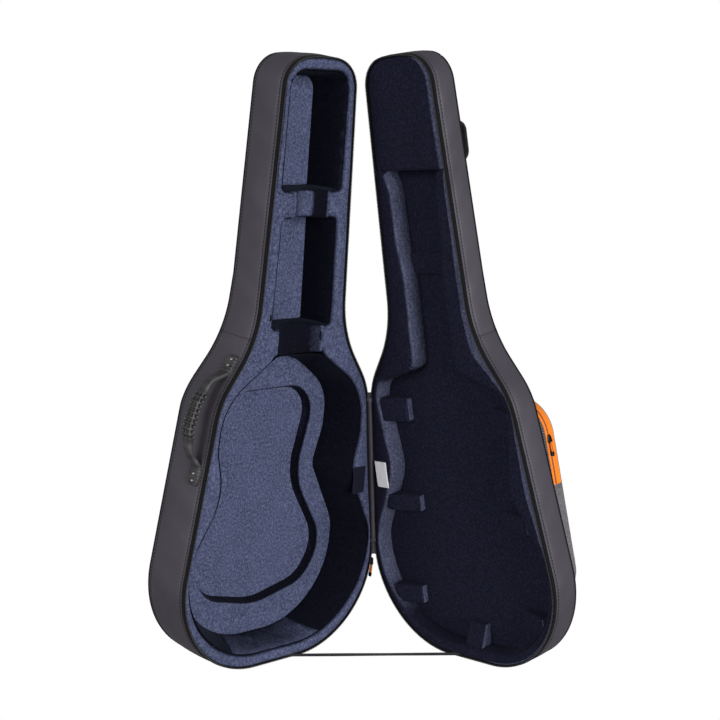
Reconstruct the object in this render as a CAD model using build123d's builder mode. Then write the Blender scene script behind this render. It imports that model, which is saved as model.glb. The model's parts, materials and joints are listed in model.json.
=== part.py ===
from build123d import *
import math
import os
from collections import namedtuple

# A soft foam case for a classical guitar, zipped all round and lying open on its back.
# Millimetres. Outlines are drawn from the tail end (y = 0) to the head end, x is positive
# toward the hinge side, and depths are measured from each half's rim toward its outer face.

LENGTH = 1060
ORIGIN_FROM_TAIL = 240

BASE_DEPTH = 102
BASE_NECK_DEPTH = 81.5
LID_DEPTH = 57.5
LID_NECK_DEPTH = 51.5
RAMP_START = 470
RAMP_END = 690
BAND_SEAM = 592

LOWER_BOUT = (243, 0, 165)
SHOULDER = (167, 488, 140)
NECK_ROOT = (96.5, 591, 200)
HEAD_CORNER = (77, LENGTH - 8.5, 51.5)
HEAD_CROWN = (0, LENGTH, 250)
OUTLINE = [LOWER_BOUT, SHOULDER, NECK_ROOT, HEAD_CORNER, HEAD_CROWN]

SKIN = 2
PIPING = 4
FLOOR_FOAM = 12
WALL_FOAM = 10
BINDING_WIDTH = 3
BINDING_HEIGHT = 6
LIP_HEIGHT = 8
LIP_ROUND = 4

ZIP_GAP = 8
TAPE_HEIGHT = 2
COIL_HEIGHT = 1.7
ZIP_START = 186
ZIP_END = 462
HINGE_STAND_OFF = 0.8
SPINE_THICKNESS = 1.2
SPINE_REACH = 26
SPINE_CLEAR = 1.1

RECESS_DEPTH = BASE_DEPTH - FLOOR_FOAM - 4
SHELF_DEPTH = RECESS_DEPTH - 16
WELL_DEPTH = BASE_NECK_DEPTH - FLOOR_FOAM - 3.5
HEAD_DEPTH = BASE_NECK_DEPTH - FLOOR_FOAM + 0.5
HEEL_START = 541
HEEL_END = 605
SADDLE_START = LENGTH - 270
SADDLE_END = LENGTH - 223
HEAD_CAVITY_END = LENGTH - 26
TAIL_PAD_HALF = 100
TAIL_PAD_REACH = 75

BASE_LIP = [(206, 24, 162), (205, 215, 90), (143, 325, 120), (161, 400, 60), (157, 480, 45), (50, 556, 15)]
SHELF = [
    (172, 33, 150), (172, 215, 70), (112, 332, 12), (132, 400, 50), (133, 470, 40),
    (46, HEEL_START, 12),
]
RECESS = [
    (0, 85, 120), (110, 112, 50), (147, 183, 22), (80, 300, 60), (80, 345, 60), (98, 420, 30),
    (96, 481, 36),
]
RECESS_LEAN = 5
WELL_LIP = [(66, HEEL_END, 3), (60, SADDLE_START, 3)]
WELL_FLOOR = [(53, HEEL_END, 3), (48, SADDLE_START, 3)]
HEAD_LIP = [(66, SADDLE_END, 4), (63, HEAD_CAVITY_END, 30)]
HEAD_FLOOR = [(47, SADDLE_END, 4), (44, HEAD_CAVITY_END - 12, 24)]
TROUGH_RADIUS = 55
TROUGH_RISE = 23
SADDLE_RADIUS = 78
SADDLE_RISE = 67

LID_PAD_DEPTH = LID_NECK_DEPTH - 11.5
LID_RECESS_DEPTH = LID_PAD_DEPTH - 10
LID_HEAD_START = LENGTH - 192
LID_HEAD_INSET = 14
LID_RECESS = [
    (203, 24, 150), (203, 200, 80), (136, 330, 90), (157, 456, 40), (43, 551, 15),
    (42, LENGTH - 370, 60), (50, LENGTH - 325, 60), (51, LENGTH - 230, 40), (60, LID_HEAD_START, 3),
]
NECK_RIB = (LENGTH - 372, LENGTH - 335, 9)
BUMPER_TOP = 2
BUMPER_TIP = 10

POCKET = [(185, 110, 60), (160, 462, 60)]
POCKET_DEPTH = 45
POCKET_SKIN = 2.5
POCKET_ZIP_START = 322
POCKET_ZIP_INSET = 10
POCKET_ZIP_WIDTH = 16

STRAP_X = 34
STRAP_WIDTH = 20
STRAP_THICKNESS = 1.5
STRAP_INSET = 3.2
STRAP_TAB_HEIGHT = 3.4
STRAP_CLEAR = 0.5

HANDLE_DEPTH = 27
HANDLE_WIDTH = 24
PLATE_LENGTH = 36
PLATE_WIDTH = 26
PLATE_THICKNESS = 6
RIVET_FAR = 10
RIVET_NEAR = 2
RIVET_RADIUS = 3
RIVET_RISE = 1.6
LOWER_PLATE_Y = 363
UPPER_PLATE_ALONG = 68

NECK_HANDLE_X = -45
NECK_HANDLE_START = LENGTH - 224
NECK_HANDLE_END = LENGTH - 87
NECK_HANDLE_RISE = 36
WEBBING_WIDTH = 25
WEBBING_THICKNESS = 3
WEBBING_FOOT = 24

SLIDER_LENGTH = 14
SLIDER_HEIGHT = 9
SLIDER_THICKNESS = 2.2
SLIDER_CLEAR = 0.35
SLIDER_ANGLE = -5.65
ARCH_LENGTH = 9
ARCH_WIDTH = 3
ARCH_RISE = 3.6
ARCH_WIRE = 1.3
PULL_LENGTH = 30
PULL_BAR = 1.4
PULL_WIDTH = 7.5
PULL_EYE = 7

# The hinge line runs along the straight side of the lower body, just outside the wall.
slope = math.atan2(LOWER_BOUT[0] - SHOULDER[0], SHOULDER[1])
up = Vector(0, 0, 1)
along = Vector(-math.sin(slope), math.cos(slope), 0)
outward = Vector(math.cos(slope), math.sin(slope), 0)
hinge_reach = LOWER_BOUT[0] * math.cos(slope) + HINGE_STAND_OFF
tail_point = Vector(0, -ORIGIN_FROM_TAIL, BASE_DEPTH)
hinge_point = tail_point + outward * hinge_reach + up * (ZIP_GAP / 2)
lid_tail_point = hinge_point + up * hinge_reach + outward * (ZIP_GAP / 2)

Half = namedtuple("Half", "rim sign depth neck_depth")
base = Half(Plane(origin=tail_point, x_dir=(1, 0, 0), z_dir=(0, 0, 1)), -1, BASE_DEPTH, BASE_NECK_DEPTH)
lid_across = up * -math.cos(slope) - along * math.sin(slope)
lid = Half(Plane(origin=lid_tail_point, x_dir=lid_across, z_dir=outward), 1, LID_DEPTH, LID_NECK_DEPTH)


def level(half, depth):
    """The plane at a depth from the half's rim."""
    return half.rim.offset(half.sign * depth)


def side_view(half):
    """The plane through the centreline, whose axes run along the case and out from the rim."""
    return Plane(origin=half.rim.origin, x_dir=half.rim.y_dir, z_dir=half.rim.x_dir)


def cross_view(half, y):
    """The plane across the half at y, whose axes run toward the hinge side and out from the rim."""
    place = half.rim.origin + half.rim.y_dir * y
    return Plane(origin=place, x_dir=half.rim.x_dir, z_dir=half.rim.y_dir * -1)


def outline_face(plane, corners, grow=0):
    """A face inside rounded corners (x, y, radius) and their mirror images, grown by an offset."""
    loop = corners + [(-x, y, radius) for x, y, radius in reversed(corners) if x > 0]
    with BuildSketch(plane) as face:
        with BuildLine():
            radii = [corner[2] for corner in loop]
            FilletPolyline(*[(x, y) for x, y, radius in loop], radius=radii, close=True)
        make_face()
        if grow:
            offset(amount=grow)
    return face.sketch


def box_face(plane, middle_x, middle_y, width, height):
    """A rectangle on a plane."""
    with BuildSketch(plane) as face:
        with Locations((middle_x, middle_y)):
            Rectangle(width, height)
    return face.sketch


def rounded_face(plane, middle_x, middle_y, width, height, radius):
    """A rectangle with rounded corners on a plane."""
    with BuildSketch(plane) as face:
        with Locations((middle_x, middle_y)):
            RectangleRounded(width, height, radius)
    return face.sketch


def disc_face(plane, middle_x, middle_y, radius):
    """A disc on a plane."""
    with BuildSketch(plane) as face:
        with Locations((middle_x, middle_y)):
            Circle(radius)
    return face.sketch


def corner_face(plane, points):
    """A straight-sided face through points on a plane."""
    with BuildSketch(plane) as face:
        with BuildLine():
            Polyline(*points, close=True)
        make_face()
    return face.sketch


def prism(half, corners, grow, start, end, mode=Mode.ADD):
    """A straight-sided block of an outline between two depths."""
    extrude(outline_face(level(half, start), corners, grow), amount=half.sign * (end - start), mode=mode)


def hollow(half, top, bottom, depth, start=0, shrink=0):
    """Takes away the space between an outline at the start and another one at a depth."""
    upper = outline_face(level(half, start), top)
    lower = outline_face(level(half, depth), bottom, -shrink)
    loft([upper.face(), lower.face()], ruled=True, mode=Mode.SUBTRACT)


def keep_shell(half, low, high=None):
    """Keeps what lies between two distances in from the outer face, or all of it above the first."""
    def line(inset):
        return [
            (-50, half.depth - inset), (RAMP_START, half.depth - inset),
            (RAMP_END, half.neck_depth - inset), (LENGTH + 50, half.neck_depth - inset),
        ]
    inner = line(high) if high is not None else [(-50, -50), (LENGTH + 50, -50)]
    points = [(y, half.sign * depth) for y, depth in line(low) + inner[::-1]]
    extrude(corner_face(side_view(half), points), amount=LENGTH / 2, both=True, mode=Mode.INTERSECT)


def keep_length(half, start, end):
    """Keeps what lies between two distances from the tail end."""
    slab = box_face(side_view(half), (start + end) / 2, 0, end - start, LENGTH)
    extrude(slab, amount=LENGTH / 2, both=True, mode=Mode.INTERSECT)


def keep_side(half, sign):
    """Keeps the hinge side (1) or the free side (-1) of the centreline."""
    slab = box_face(half.rim, sign * LENGTH / 2, LENGTH / 2, LENGTH, 2 * LENGTH)
    extrude(slab, amount=LENGTH / 2, both=True, mode=Mode.INTERSECT)


def cut_zip_break(half):
    """Opens a ring along the hinge, where the case has its fabric spine."""
    slab = box_face(half.rim, LENGTH / 2 + 100, (ZIP_START + ZIP_END) / 2, LENGTH, ZIP_END - ZIP_START)
    extrude(slab, amount=50, both=True, mode=Mode.SUBTRACT)


def band(half, outer, inner, start, end):
    """A band round the case between two insets and two depths."""
    prism(half, OUTLINE, -outer, start, end)
    prism(half, OUTLINE, -inner, start, end, mode=Mode.SUBTRACT)


def trough(half, radius, rise, start, end):
    """Takes away a round-bottomed channel that runs along the case."""
    extrude(disc_face(cross_view(half, start), 0, rise, radius), amount=start - end, mode=Mode.SUBTRACT)


# Base half: outer skin
with BuildPart() as base_back_panel:
    prism(base, OUTLINE, -PIPING, 0, BASE_DEPTH)
    keep_shell(base, 0, SKIN)

with BuildPart() as base_piping:
    band(base, 0, PIPING, 0, BASE_DEPTH)
    keep_shell(base, 0, PIPING)

with BuildPart() as base_body_band:
    band(base, 0, SKIN, BINDING_HEIGHT, BASE_DEPTH)
    keep_shell(base, PIPING)
    keep_length(base, -1, BAND_SEAM)

with BuildPart() as base_neck_band:
    band(base, 0, SKIN, BINDING_HEIGHT, BASE_DEPTH)
    keep_shell(base, PIPING)
    keep_length(base, BAND_SEAM, LENGTH + 1)

with BuildPart() as base_rim_binding:
    band(base, 0, BINDING_WIDTH, 0, BINDING_HEIGHT)

with BuildPart() as base_zip_tape:
    band(base, 1, 2, -TAPE_HEIGHT, 0)

with BuildPart() as base_zip:
    band(base, 0.5, 2.5, -TAPE_HEIGHT - COIL_HEIGHT, -TAPE_HEIGHT)
    add(base_zip_tape.part)
    cut_zip_break(base)

# Base half: foam
with BuildPart() as base_floor_foam:
    prism(base, OUTLINE, -PIPING, 0, BASE_DEPTH)
    keep_shell(base, SKIN, FLOOR_FOAM)

with BuildPart() as base_wall_foam:
    band(base, SKIN, WALL_FOAM, LIP_HEIGHT, BASE_DEPTH)
    keep_shell(base, FLOOR_FOAM)

# Base half: plush-covered pads
with BuildPart() as base_shelf_pad:
    prism(base, OUTLINE, -WALL_FOAM, SHELF_DEPTH, BASE_DEPTH)
    keep_shell(base, FLOOR_FOAM)
    keep_length(base, 0, HEEL_START)
    hollow(base, RECESS, RECESS, RECESS_DEPTH, SHELF_DEPTH, RECESS_LEAN)
    prism(base, RECESS, -RECESS_LEAN, RECESS_DEPTH, BASE_DEPTH, mode=Mode.SUBTRACT)

with BuildPart() as base_recess_floor:
    prism(base, RECESS, -RECESS_LEAN, RECESS_DEPTH, BASE_DEPTH)
    keep_shell(base, FLOOR_FOAM)

with BuildPart() as base_tail_pad:
    prism(base, OUTLINE, -WALL_FOAM, LIP_HEIGHT, SHELF_DEPTH)
    hollow(base, BASE_LIP, SHELF, SHELF_DEPTH)
    slab = box_face(base.rim, 0, TAIL_PAD_REACH / 2, 2 * TAIL_PAD_HALF, TAIL_PAD_REACH)
    extrude(slab, amount=-BASE_DEPTH, mode=Mode.INTERSECT)


def base_wall_pad(sign):
    """The leaning pad along one side of the body, up to the tail pad."""
    prism(base, OUTLINE, -WALL_FOAM, LIP_HEIGHT, SHELF_DEPTH)
    hollow(base, BASE_LIP, SHELF, SHELF_DEPTH)
    keep_length(base, 0, HEEL_START)
    keep_side(base, sign)
    add(base_tail_pad.part, mode=Mode.SUBTRACT)


with BuildPart() as base_wall_pad_hinge:
    base_wall_pad(1)

with BuildPart() as base_wall_pad_free:
    base_wall_pad(-1)

with BuildPart() as base_heel_block:
    prism(base, OUTLINE, -WALL_FOAM, LIP_HEIGHT, BASE_DEPTH)
    keep_shell(base, FLOOR_FOAM)
    keep_length(base, HEEL_START, HEEL_END)
    hollow(base, BASE_LIP, SHELF, SHELF_DEPTH)
    trough(base, TROUGH_RADIUS, TROUGH_RISE, HEEL_START - 40, HEEL_END)

with BuildPart() as base_well_pad:
    prism(base, OUTLINE, -WALL_FOAM, LIP_HEIGHT, BASE_DEPTH)
    keep_shell(base, FLOOR_FOAM)
    keep_length(base, HEEL_END, SADDLE_START)
    hollow(base, WELL_LIP, WELL_FLOOR, WELL_DEPTH)

with BuildPart() as base_neck_saddle:
    prism(base, OUTLINE, -WALL_FOAM, LIP_HEIGHT, BASE_DEPTH)
    keep_shell(base, FLOOR_FOAM)
    keep_length(base, SADDLE_START, SADDLE_END)
    trough(base, SADDLE_RADIUS, SADDLE_RISE, SADDLE_START, SADDLE_END)

with BuildPart() as base_head_pad:
    prism(base, OUTLINE, -WALL_FOAM, LIP_HEIGHT, BASE_DEPTH)
    keep_shell(base, FLOOR_FOAM)
    keep_length(base, SADDLE_END, HEAD_CAVITY_END)
    hollow(base, HEAD_LIP, HEAD_FLOOR, HEAD_DEPTH)

with BuildPart() as base_head_roll:
    prism(base, OUTLINE, -WALL_FOAM, LIP_HEIGHT, BASE_DEPTH)
    keep_shell(base, FLOOR_FOAM)
    keep_length(base, HEAD_CAVITY_END, LENGTH)

with BuildPart() as base_lip_pad:
    prism(base, OUTLINE, -BINDING_WIDTH, 0, LIP_HEIGHT)
    hollow(base, BASE_LIP, SHELF, SHELF_DEPTH)
    hollow(base, WELL_LIP, WELL_FLOOR, WELL_DEPTH)
    hollow(base, HEAD_LIP, HEAD_FLOOR, HEAD_DEPTH)
    trough(base, TROUGH_RADIUS, TROUGH_RISE, HEEL_START - 40, HEEL_END)
    trough(base, SADDLE_RADIUS, SADDLE_RISE, SADDLE_START, SADDLE_END)
    fillet(faces().sort_by(Axis.Z)[-1].inner_wires()[0].edges(), LIP_ROUND)

with BuildPart() as hook_patch:
    with BuildSketch(base.rim):
        with Locations((165, 312)):
            RectangleRounded(28, 50, 4)
    extrude(amount=1.2)

with BuildPart() as cord_loop:
    with BuildSketch(Plane(origin=base.rim.origin + Vector(-74, 626, 0), x_dir=(0, 1, 0), z_dir=(1, 0, 0))):
        with BuildLine():
            CenterArc((0, 0), 7, 0, 180)
            Line((-7, 0), (-4, 0))
            CenterArc((0, 0), 4, 180, -180)
            Line((4, 0), (7, 0))
        make_face()
    extrude(amount=1.5, both=True)

# Lid half: outer skin
with BuildPart() as lid_front_panel:
    prism(lid, OUTLINE, -PIPING, 0, LID_DEPTH)
    keep_shell(lid, 0, SKIN)

with BuildPart() as lid_piping:
    band(lid, 0, PIPING, 0, LID_DEPTH)
    keep_shell(lid, 0, PIPING)

with BuildPart() as lid_body_band:
    band(lid, 0, SKIN, BINDING_HEIGHT, LID_DEPTH)
    keep_shell(lid, PIPING)
    keep_length(lid, -1, BAND_SEAM)

with BuildPart() as lid_neck_band:
    band(lid, 0, SKIN, BINDING_HEIGHT, LID_DEPTH)
    keep_shell(lid, PIPING)
    keep_length(lid, BAND_SEAM, LENGTH + 1)

with BuildPart() as lid_rim_binding:
    band(lid, 0, BINDING_WIDTH, 0, BINDING_HEIGHT)

with BuildPart() as lid_zip_tape:
    band(lid, 1, 2, -TAPE_HEIGHT, 0)

with BuildPart() as lid_zip:
    band(lid, 0.5, 2.5, -TAPE_HEIGHT - COIL_HEIGHT, -TAPE_HEIGHT)
    add(lid_zip_tape.part)
    cut_zip_break(lid)

# Lid half: foam and plush-covered pads
with BuildPart() as lid_floor_foam:
    prism(lid, OUTLINE, -PIPING, LID_PAD_DEPTH, LID_DEPTH)
    keep_shell(lid, SKIN)

with BuildPart() as lid_wall_foam:
    band(lid, SKIN, WALL_FOAM, LIP_HEIGHT, LID_PAD_DEPTH)

with BuildPart() as lid_recess_floor:
    prism(lid, OUTLINE, -WALL_FOAM, LID_RECESS_DEPTH, LID_PAD_DEPTH)

with BuildPart() as lid_head_pad:
    prism(lid, OUTLINE, -LID_HEAD_INSET, 0, LID_RECESS_DEPTH)
    keep_length(lid, LID_HEAD_START, LENGTH)

with BuildPart() as lid_wall_pad:
    prism(lid, OUTLINE, -WALL_FOAM, LIP_HEIGHT, LID_RECESS_DEPTH)
    prism(lid, LID_RECESS, 0, LIP_HEIGHT, LID_RECESS_DEPTH, mode=Mode.SUBTRACT)
    add(lid_head_pad.part, mode=Mode.SUBTRACT)

with BuildPart() as lid_lip_pad:
    prism(lid, OUTLINE, -BINDING_WIDTH, 0, LIP_HEIGHT)
    prism(lid, LID_RECESS, 0, 0, LIP_HEIGHT, mode=Mode.SUBTRACT)
    add(lid_head_pad.part, mode=Mode.SUBTRACT)
    rim_edges = faces().sort_by(Axis(lid.rim.origin, lid.rim.z_dir))[0].inner_wires()[0].edges()
    lengthwise = Axis(lid.rim.origin, lid.rim.y_dir)
    fillet(rim_edges.filter_by_position(lengthwise, 0, LID_HEAD_START - 4), LIP_ROUND)

with BuildPart() as lid_neck_rib:
    prism(lid, LID_RECESS, 0, LID_RECESS_DEPTH - NECK_RIB[2], LID_RECESS_DEPTH)
    keep_length(lid, NECK_RIB[0], NECK_RIB[1])


def side_bumper(sign, inner, outer, start, end):
    """A ramp that falls from the recess wall toward the middle."""
    prism(lid, LID_RECESS, 0, 0, LID_RECESS_DEPTH)
    ramp = [
        (sign * inner, LID_RECESS_DEPTH), (sign * inner, LID_RECESS_DEPTH - BUMPER_TIP),
        (sign * outer, BUMPER_TOP), (sign * (outer + 60), BUMPER_TOP),
        (sign * (outer + 60), LID_RECESS_DEPTH),
    ]
    extrude(corner_face(cross_view(lid, start), ramp), amount=start - end, mode=Mode.INTERSECT)


with BuildPart() as lid_bumper_upper_hinge:
    side_bumper(1, 99, 150, 420, 464)

with BuildPart() as lid_bumper_upper_free:
    side_bumper(-1, 99, 150, 420, 464)

with BuildPart() as lid_bumper_waist_hinge:
    side_bumper(1, 99, 158, 253, 284)

with BuildPart() as lid_bumper_waist_free:
    side_bumper(-1, 99, 158, 253, 284)

with BuildPart() as lid_bumper_lower_hinge:
    side_bumper(1, 123, 178, 74, 109)

with BuildPart() as lid_bumper_lower_free:
    side_bumper(-1, 123, 178, 74, 109)

with BuildPart() as lid_bumper_tail:
    with BuildSketch(side_view(lid).offset(-8)):
        with BuildLine():
            Polyline(
                (24, LID_RECESS_DEPTH), (24, BUMPER_TOP), (64, LID_RECESS_DEPTH - BUMPER_TIP),
                (64, LID_RECESS_DEPTH), close=True,
            )
        make_face()
    extrude(amount=21, both=True)

with BuildPart() as lid_label:
    with BuildSketch(lid.rim):
        with Locations((168, 321)):
            RectangleRounded(28, 48, 1)
    extrude(amount=-0.8)

# Fabric spine along the hinge, one leaf on each half
spine_length = (ZIP_END - ZIP_START) - 6

with BuildPart() as spine_base_leaf:
    with BuildSketch(Plane(origin=hinge_point, x_dir=along, z_dir=outward).offset(-HINGE_STAND_OFF)):
        with Locations(((ZIP_START + ZIP_END) / 2, -SPINE_CLEAR - SPINE_REACH / 2)):
            Rectangle(spine_length, SPINE_REACH)
    extrude(amount=SPINE_THICKNESS)

with BuildPart() as spine_lid_leaf:
    with BuildSketch(Plane(origin=hinge_point, x_dir=along, z_dir=up * -1).offset(-HINGE_STAND_OFF)):
        with Locations(((ZIP_START + ZIP_END) / 2, SPINE_CLEAR + SPINE_REACH / 2)):
            Rectangle(spine_length, SPINE_REACH)
    extrude(amount=SPINE_THICKNESS)

# Pocket on the lid's face
pocket_top = LID_DEPTH + POCKET_DEPTH

with BuildPart() as pocket_panel:
    prism(lid, POCKET, 0, pocket_top - POCKET_SKIN, pocket_top)

with BuildPart() as pocket_gusset:
    prism(lid, POCKET, 0, LID_DEPTH, pocket_top - POCKET_SKIN)
    prism(lid, POCKET, -POCKET_SKIN, LID_DEPTH, pocket_top - POCKET_SKIN, mode=Mode.SUBTRACT)

zip_middle = pocket_top - POCKET_ZIP_INSET - POCKET_ZIP_WIDTH / 2
zip_low, zip_high = zip_middle - POCKET_ZIP_WIDTH / 2, zip_middle + POCKET_ZIP_WIDTH / 2
with BuildPart() as pocket_zip:
    prism(lid, POCKET, 1, zip_low, zip_high)
    prism(lid, POCKET, 0, zip_low, zip_high, mode=Mode.SUBTRACT)
    keep_length(lid, POCKET_ZIP_START, LENGTH)


def strap_tab(half):
    """A sewn end of the restraint strap, standing on the rim just inside the zip."""
    tab = box_face(half.rim, STRAP_X, STRAP_INSET + STRAP_THICKNESS / 2, STRAP_WIDTH, STRAP_THICKNESS)
    extrude(tab, amount=-half.sign * STRAP_TAB_HEIGHT)


def strap_corner(half, sign):
    """One corner of the strap's free run, at the top of a tab."""
    place = Vector(STRAP_X + sign * STRAP_WIDTH / 2, STRAP_INSET + STRAP_THICKNESS / 2, 0)
    place.Z = -half.sign * (STRAP_TAB_HEIGHT + STRAP_CLEAR)
    return half.rim.from_local_coords(place)


with BuildPart() as strap_base_tab:
    strap_tab(base)

with BuildPart() as strap_lid_tab:
    strap_tab(lid)

strap_start = strap_corner(base, -1)
strap_run = strap_corner(lid, -1) - strap_start
strap_plane = Plane(origin=strap_start, x_dir=(1, 0, 0), z_dir=Vector(1, 0, 0).cross(strap_run))
strap_corners = [strap_corner(base, -1), strap_corner(base, 1), strap_corner(lid, 1), strap_corner(lid, -1)]

with BuildPart() as restraint_strap:
    flat_corners = [strap_plane.to_local_coords(corner) for corner in strap_corners]
    strap_face = corner_face(strap_plane, [(corner.X, corner.Y) for corner in flat_corners])
    extrude(strap_face, amount=STRAP_THICKNESS / 2, both=True)

# Carry handle on the base's free side
shoulder_run = Vector(SHOULDER[0] - NECK_ROOT[0], NECK_ROOT[1] - SHOULDER[1], 0).normalized()
lower_place = Vector(-(LOWER_BOUT[0] - math.tan(slope) * LOWER_PLATE_Y), LOWER_PLATE_Y, -HANDLE_DEPTH)
upper_place = Vector(-SHOULDER[0], SHOULDER[1], -HANDLE_DEPTH) + shoulder_run * UPPER_PLATE_ALONG
lower_run = Vector(math.sin(slope), math.cos(slope), 0)
lower_wall = Plane(origin=tail_point + lower_place, x_dir=lower_run, z_dir=(-lower_run.Y, lower_run.X, 0))
upper_wall = Plane(
    origin=tail_point + upper_place, x_dir=shoulder_run, z_dir=(-shoulder_run.Y, shoulder_run.X, 0)
)


def end_plate(wall):
    """A moulded end plate with rounded corners and a bevelled edge."""
    extrude(rounded_face(wall, 0, 0, PLATE_LENGTH, PLATE_WIDTH, 7), amount=PLATE_THICKNESS)
    chamfer(faces().sort_by(Axis(wall.origin, wall.z_dir))[-1].edges(), 1.5)
    add(base_body_band.part, mode=Mode.SUBTRACT)


with BuildPart() as handle_plate_lower:
    end_plate(lower_wall)

with BuildPart() as handle_plate_upper:
    end_plate(upper_wall)

with BuildPart() as handle_rivets:
    for wall, far in ((lower_wall, -1), (upper_wall, 1)):
        for spot in (far * RIVET_FAR, -far * RIVET_NEAR):
            extrude(disc_face(wall.offset(PLATE_THICKNESS), spot, 0, RIVET_RADIUS), amount=RIVET_RISE)

handle_chord = (upper_place - lower_place).normalized()
handle_plane = Plane(origin=tail_point + lower_place, x_dir=handle_chord, z_dir=(0, 0, 1))
handle_span = (upper_place - lower_place).length
HANDLE_SHAPE = [
    (8, 4, 2), (32, 38, 30), (70, 53, 60), (handle_span - 68, 53, 60), (handle_span - 28, 38, 30),
    (handle_span - 8, 8, 2), (handle_span - 20, 8, 2), (handle_span - 40, 28, 20),
    (handle_span - 74, 41, 50), (74, 41, 50), (42, 27, 20), (19, 4, 2),
]

with BuildPart() as handle_grip:
    with BuildSketch(handle_plane.offset(-HANDLE_WIDTH / 2)):
        with BuildLine():
            radii = [corner[2] for corner in HANDLE_SHAPE]
            FilletPolyline(*[(u, v) for u, v, radius in HANDLE_SHAPE], radius=radii, close=True)
        make_face()
    extrude(amount=HANDLE_WIDTH)
    add(handle_plate_lower.part, mode=Mode.SUBTRACT)
    add(handle_plate_upper.part, mode=Mode.SUBTRACT)

# Webbing handle on the lid's neck
neck_low = LID_NECK_DEPTH
neck_high = LID_NECK_DEPTH + NECK_HANDLE_RISE
with BuildPart() as neck_handle:
    with BuildSketch(side_view(lid).offset(NECK_HANDLE_X - WEBBING_WIDTH / 2)):
        with BuildLine():
            FilletPolyline(
                (NECK_HANDLE_START, neck_low), (NECK_HANDLE_START + WEBBING_FOOT, neck_low),
                (NECK_HANDLE_START + WEBBING_FOOT + 18, neck_high - WEBBING_THICKNESS),
                (NECK_HANDLE_END - WEBBING_FOOT - 18, neck_high - WEBBING_THICKNESS),
                (NECK_HANDLE_END - WEBBING_FOOT, neck_low), (NECK_HANDLE_END, neck_low),
                (NECK_HANDLE_END, neck_low + WEBBING_THICKNESS),
                (NECK_HANDLE_END - WEBBING_FOOT + 3, neck_low + WEBBING_THICKNESS),
                (NECK_HANDLE_END - WEBBING_FOOT - 16, neck_high),
                (NECK_HANDLE_START + WEBBING_FOOT + 16, neck_high),
                (NECK_HANDLE_START + WEBBING_FOOT - 3, neck_low + WEBBING_THICKNESS),
                (NECK_HANDLE_START, neck_low + WEBBING_THICKNESS),
                radius=[0, 2, 16, 16, 2, 0, 0, 5, 19, 19, 5, 0], close=True,
            )
        make_face()
    extrude(amount=WEBBING_WIDTH)


def slider_body(face):
    """A zip slider's outer plate and the arch that its pull hangs from."""
    plate = rounded_face(face.offset(SLIDER_CLEAR), 0, 0, SLIDER_LENGTH, SLIDER_HEIGHT, 3)
    extrude(plate, amount=SLIDER_THICKNESS)
    upright = Plane(origin=face.origin, x_dir=face.x_dir, z_dir=face.y_dir * -1)
    foot = SLIDER_CLEAR + SLIDER_THICKNESS
    arch = box_face(upright, 0, foot + ARCH_RISE / 2, ARCH_LENGTH, ARCH_RISE)
    extrude(arch, amount=ARCH_WIDTH / 2, both=True)
    gap = ARCH_RISE - ARCH_WIRE
    eye = box_face(upright, 0, foot + gap / 2, ARCH_LENGTH - 2 * ARCH_WIRE, gap)
    extrude(eye, amount=ARCH_WIDTH, both=True, mode=Mode.SUBTRACT)


def slider_pull(face):
    """A pull whose cross bar runs under the arch, with two arms and a flat tab."""
    pivot = face.origin + face.z_dir * (SLIDER_CLEAR + SLIDER_THICKNESS + (ARCH_RISE - ARCH_WIRE) / 2)
    cross = disc_face(Plane(origin=pivot, x_dir=face.x_dir, z_dir=face.y_dir), 0, 0, PULL_BAR / 2)
    extrude(cross, amount=PULL_WIDTH / 2, both=True)
    flat = Plane(origin=pivot, x_dir=face.x_dir, z_dir=face.z_dir)
    extrude(box_face(flat, -PULL_LENGTH / 2, 0, PULL_LENGTH, PULL_WIDTH), amount=PULL_BAR / 2, both=True)
    window = box_face(flat, -PULL_EYE / 2, 0, PULL_EYE, ARCH_WIDTH + 1.2)
    extrude(window, amount=PULL_WIDTH, both=True, mode=Mode.SUBTRACT)
    extrude(cross, amount=PULL_WIDTH / 2, both=True)


corner_reach = LOWER_BOUT[2] * math.tan((math.pi / 2 + slope) / 2)
corner_middle = tail_point + Vector(LOWER_BOUT[0] - corner_reach, LOWER_BOUT[2], TAPE_HEIGHT)
slider_turn = math.radians(SLIDER_ANGLE)
slider_out = Vector(math.cos(slider_turn), math.sin(slider_turn), 0)
slider_way = Vector(-math.sin(slider_turn), math.cos(slider_turn), 0)
main_face = Plane(origin=corner_middle + slider_out * LOWER_BOUT[2], x_dir=slider_way, z_dir=slider_out)

with BuildPart() as main_slider:
    slider_body(main_face)

with BuildPart() as main_pull:
    slider_pull(main_face)

pocket_run = Vector(POCKET[0][0] - POCKET[1][0], POCKET[1][1] - POCKET[0][1], 0).normalized()
pocket_spot = Vector(-POCKET[0][0], POCKET[0][1], zip_middle) + pocket_run * 290
pocket_out = Vector(-pocket_run.Y, pocket_run.X, 0)


def to_lid(direction):
    """A direction in the lid's own axes, turned into the case's axes."""
    across, lengthwise, out = lid.rim.x_dir, lid.rim.y_dir, lid.rim.z_dir
    return across * direction.X + lengthwise * direction.Y + out * direction.Z


pocket_face = Plane(
    origin=lid.rim.origin + to_lid(pocket_spot + pocket_out),
    x_dir=to_lid(pocket_run), z_dir=to_lid(pocket_out),
)

with BuildPart() as pocket_slider:
    slider_body(pocket_face)

with BuildPart() as pocket_pull:
    slider_pull(pocket_face)

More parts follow.
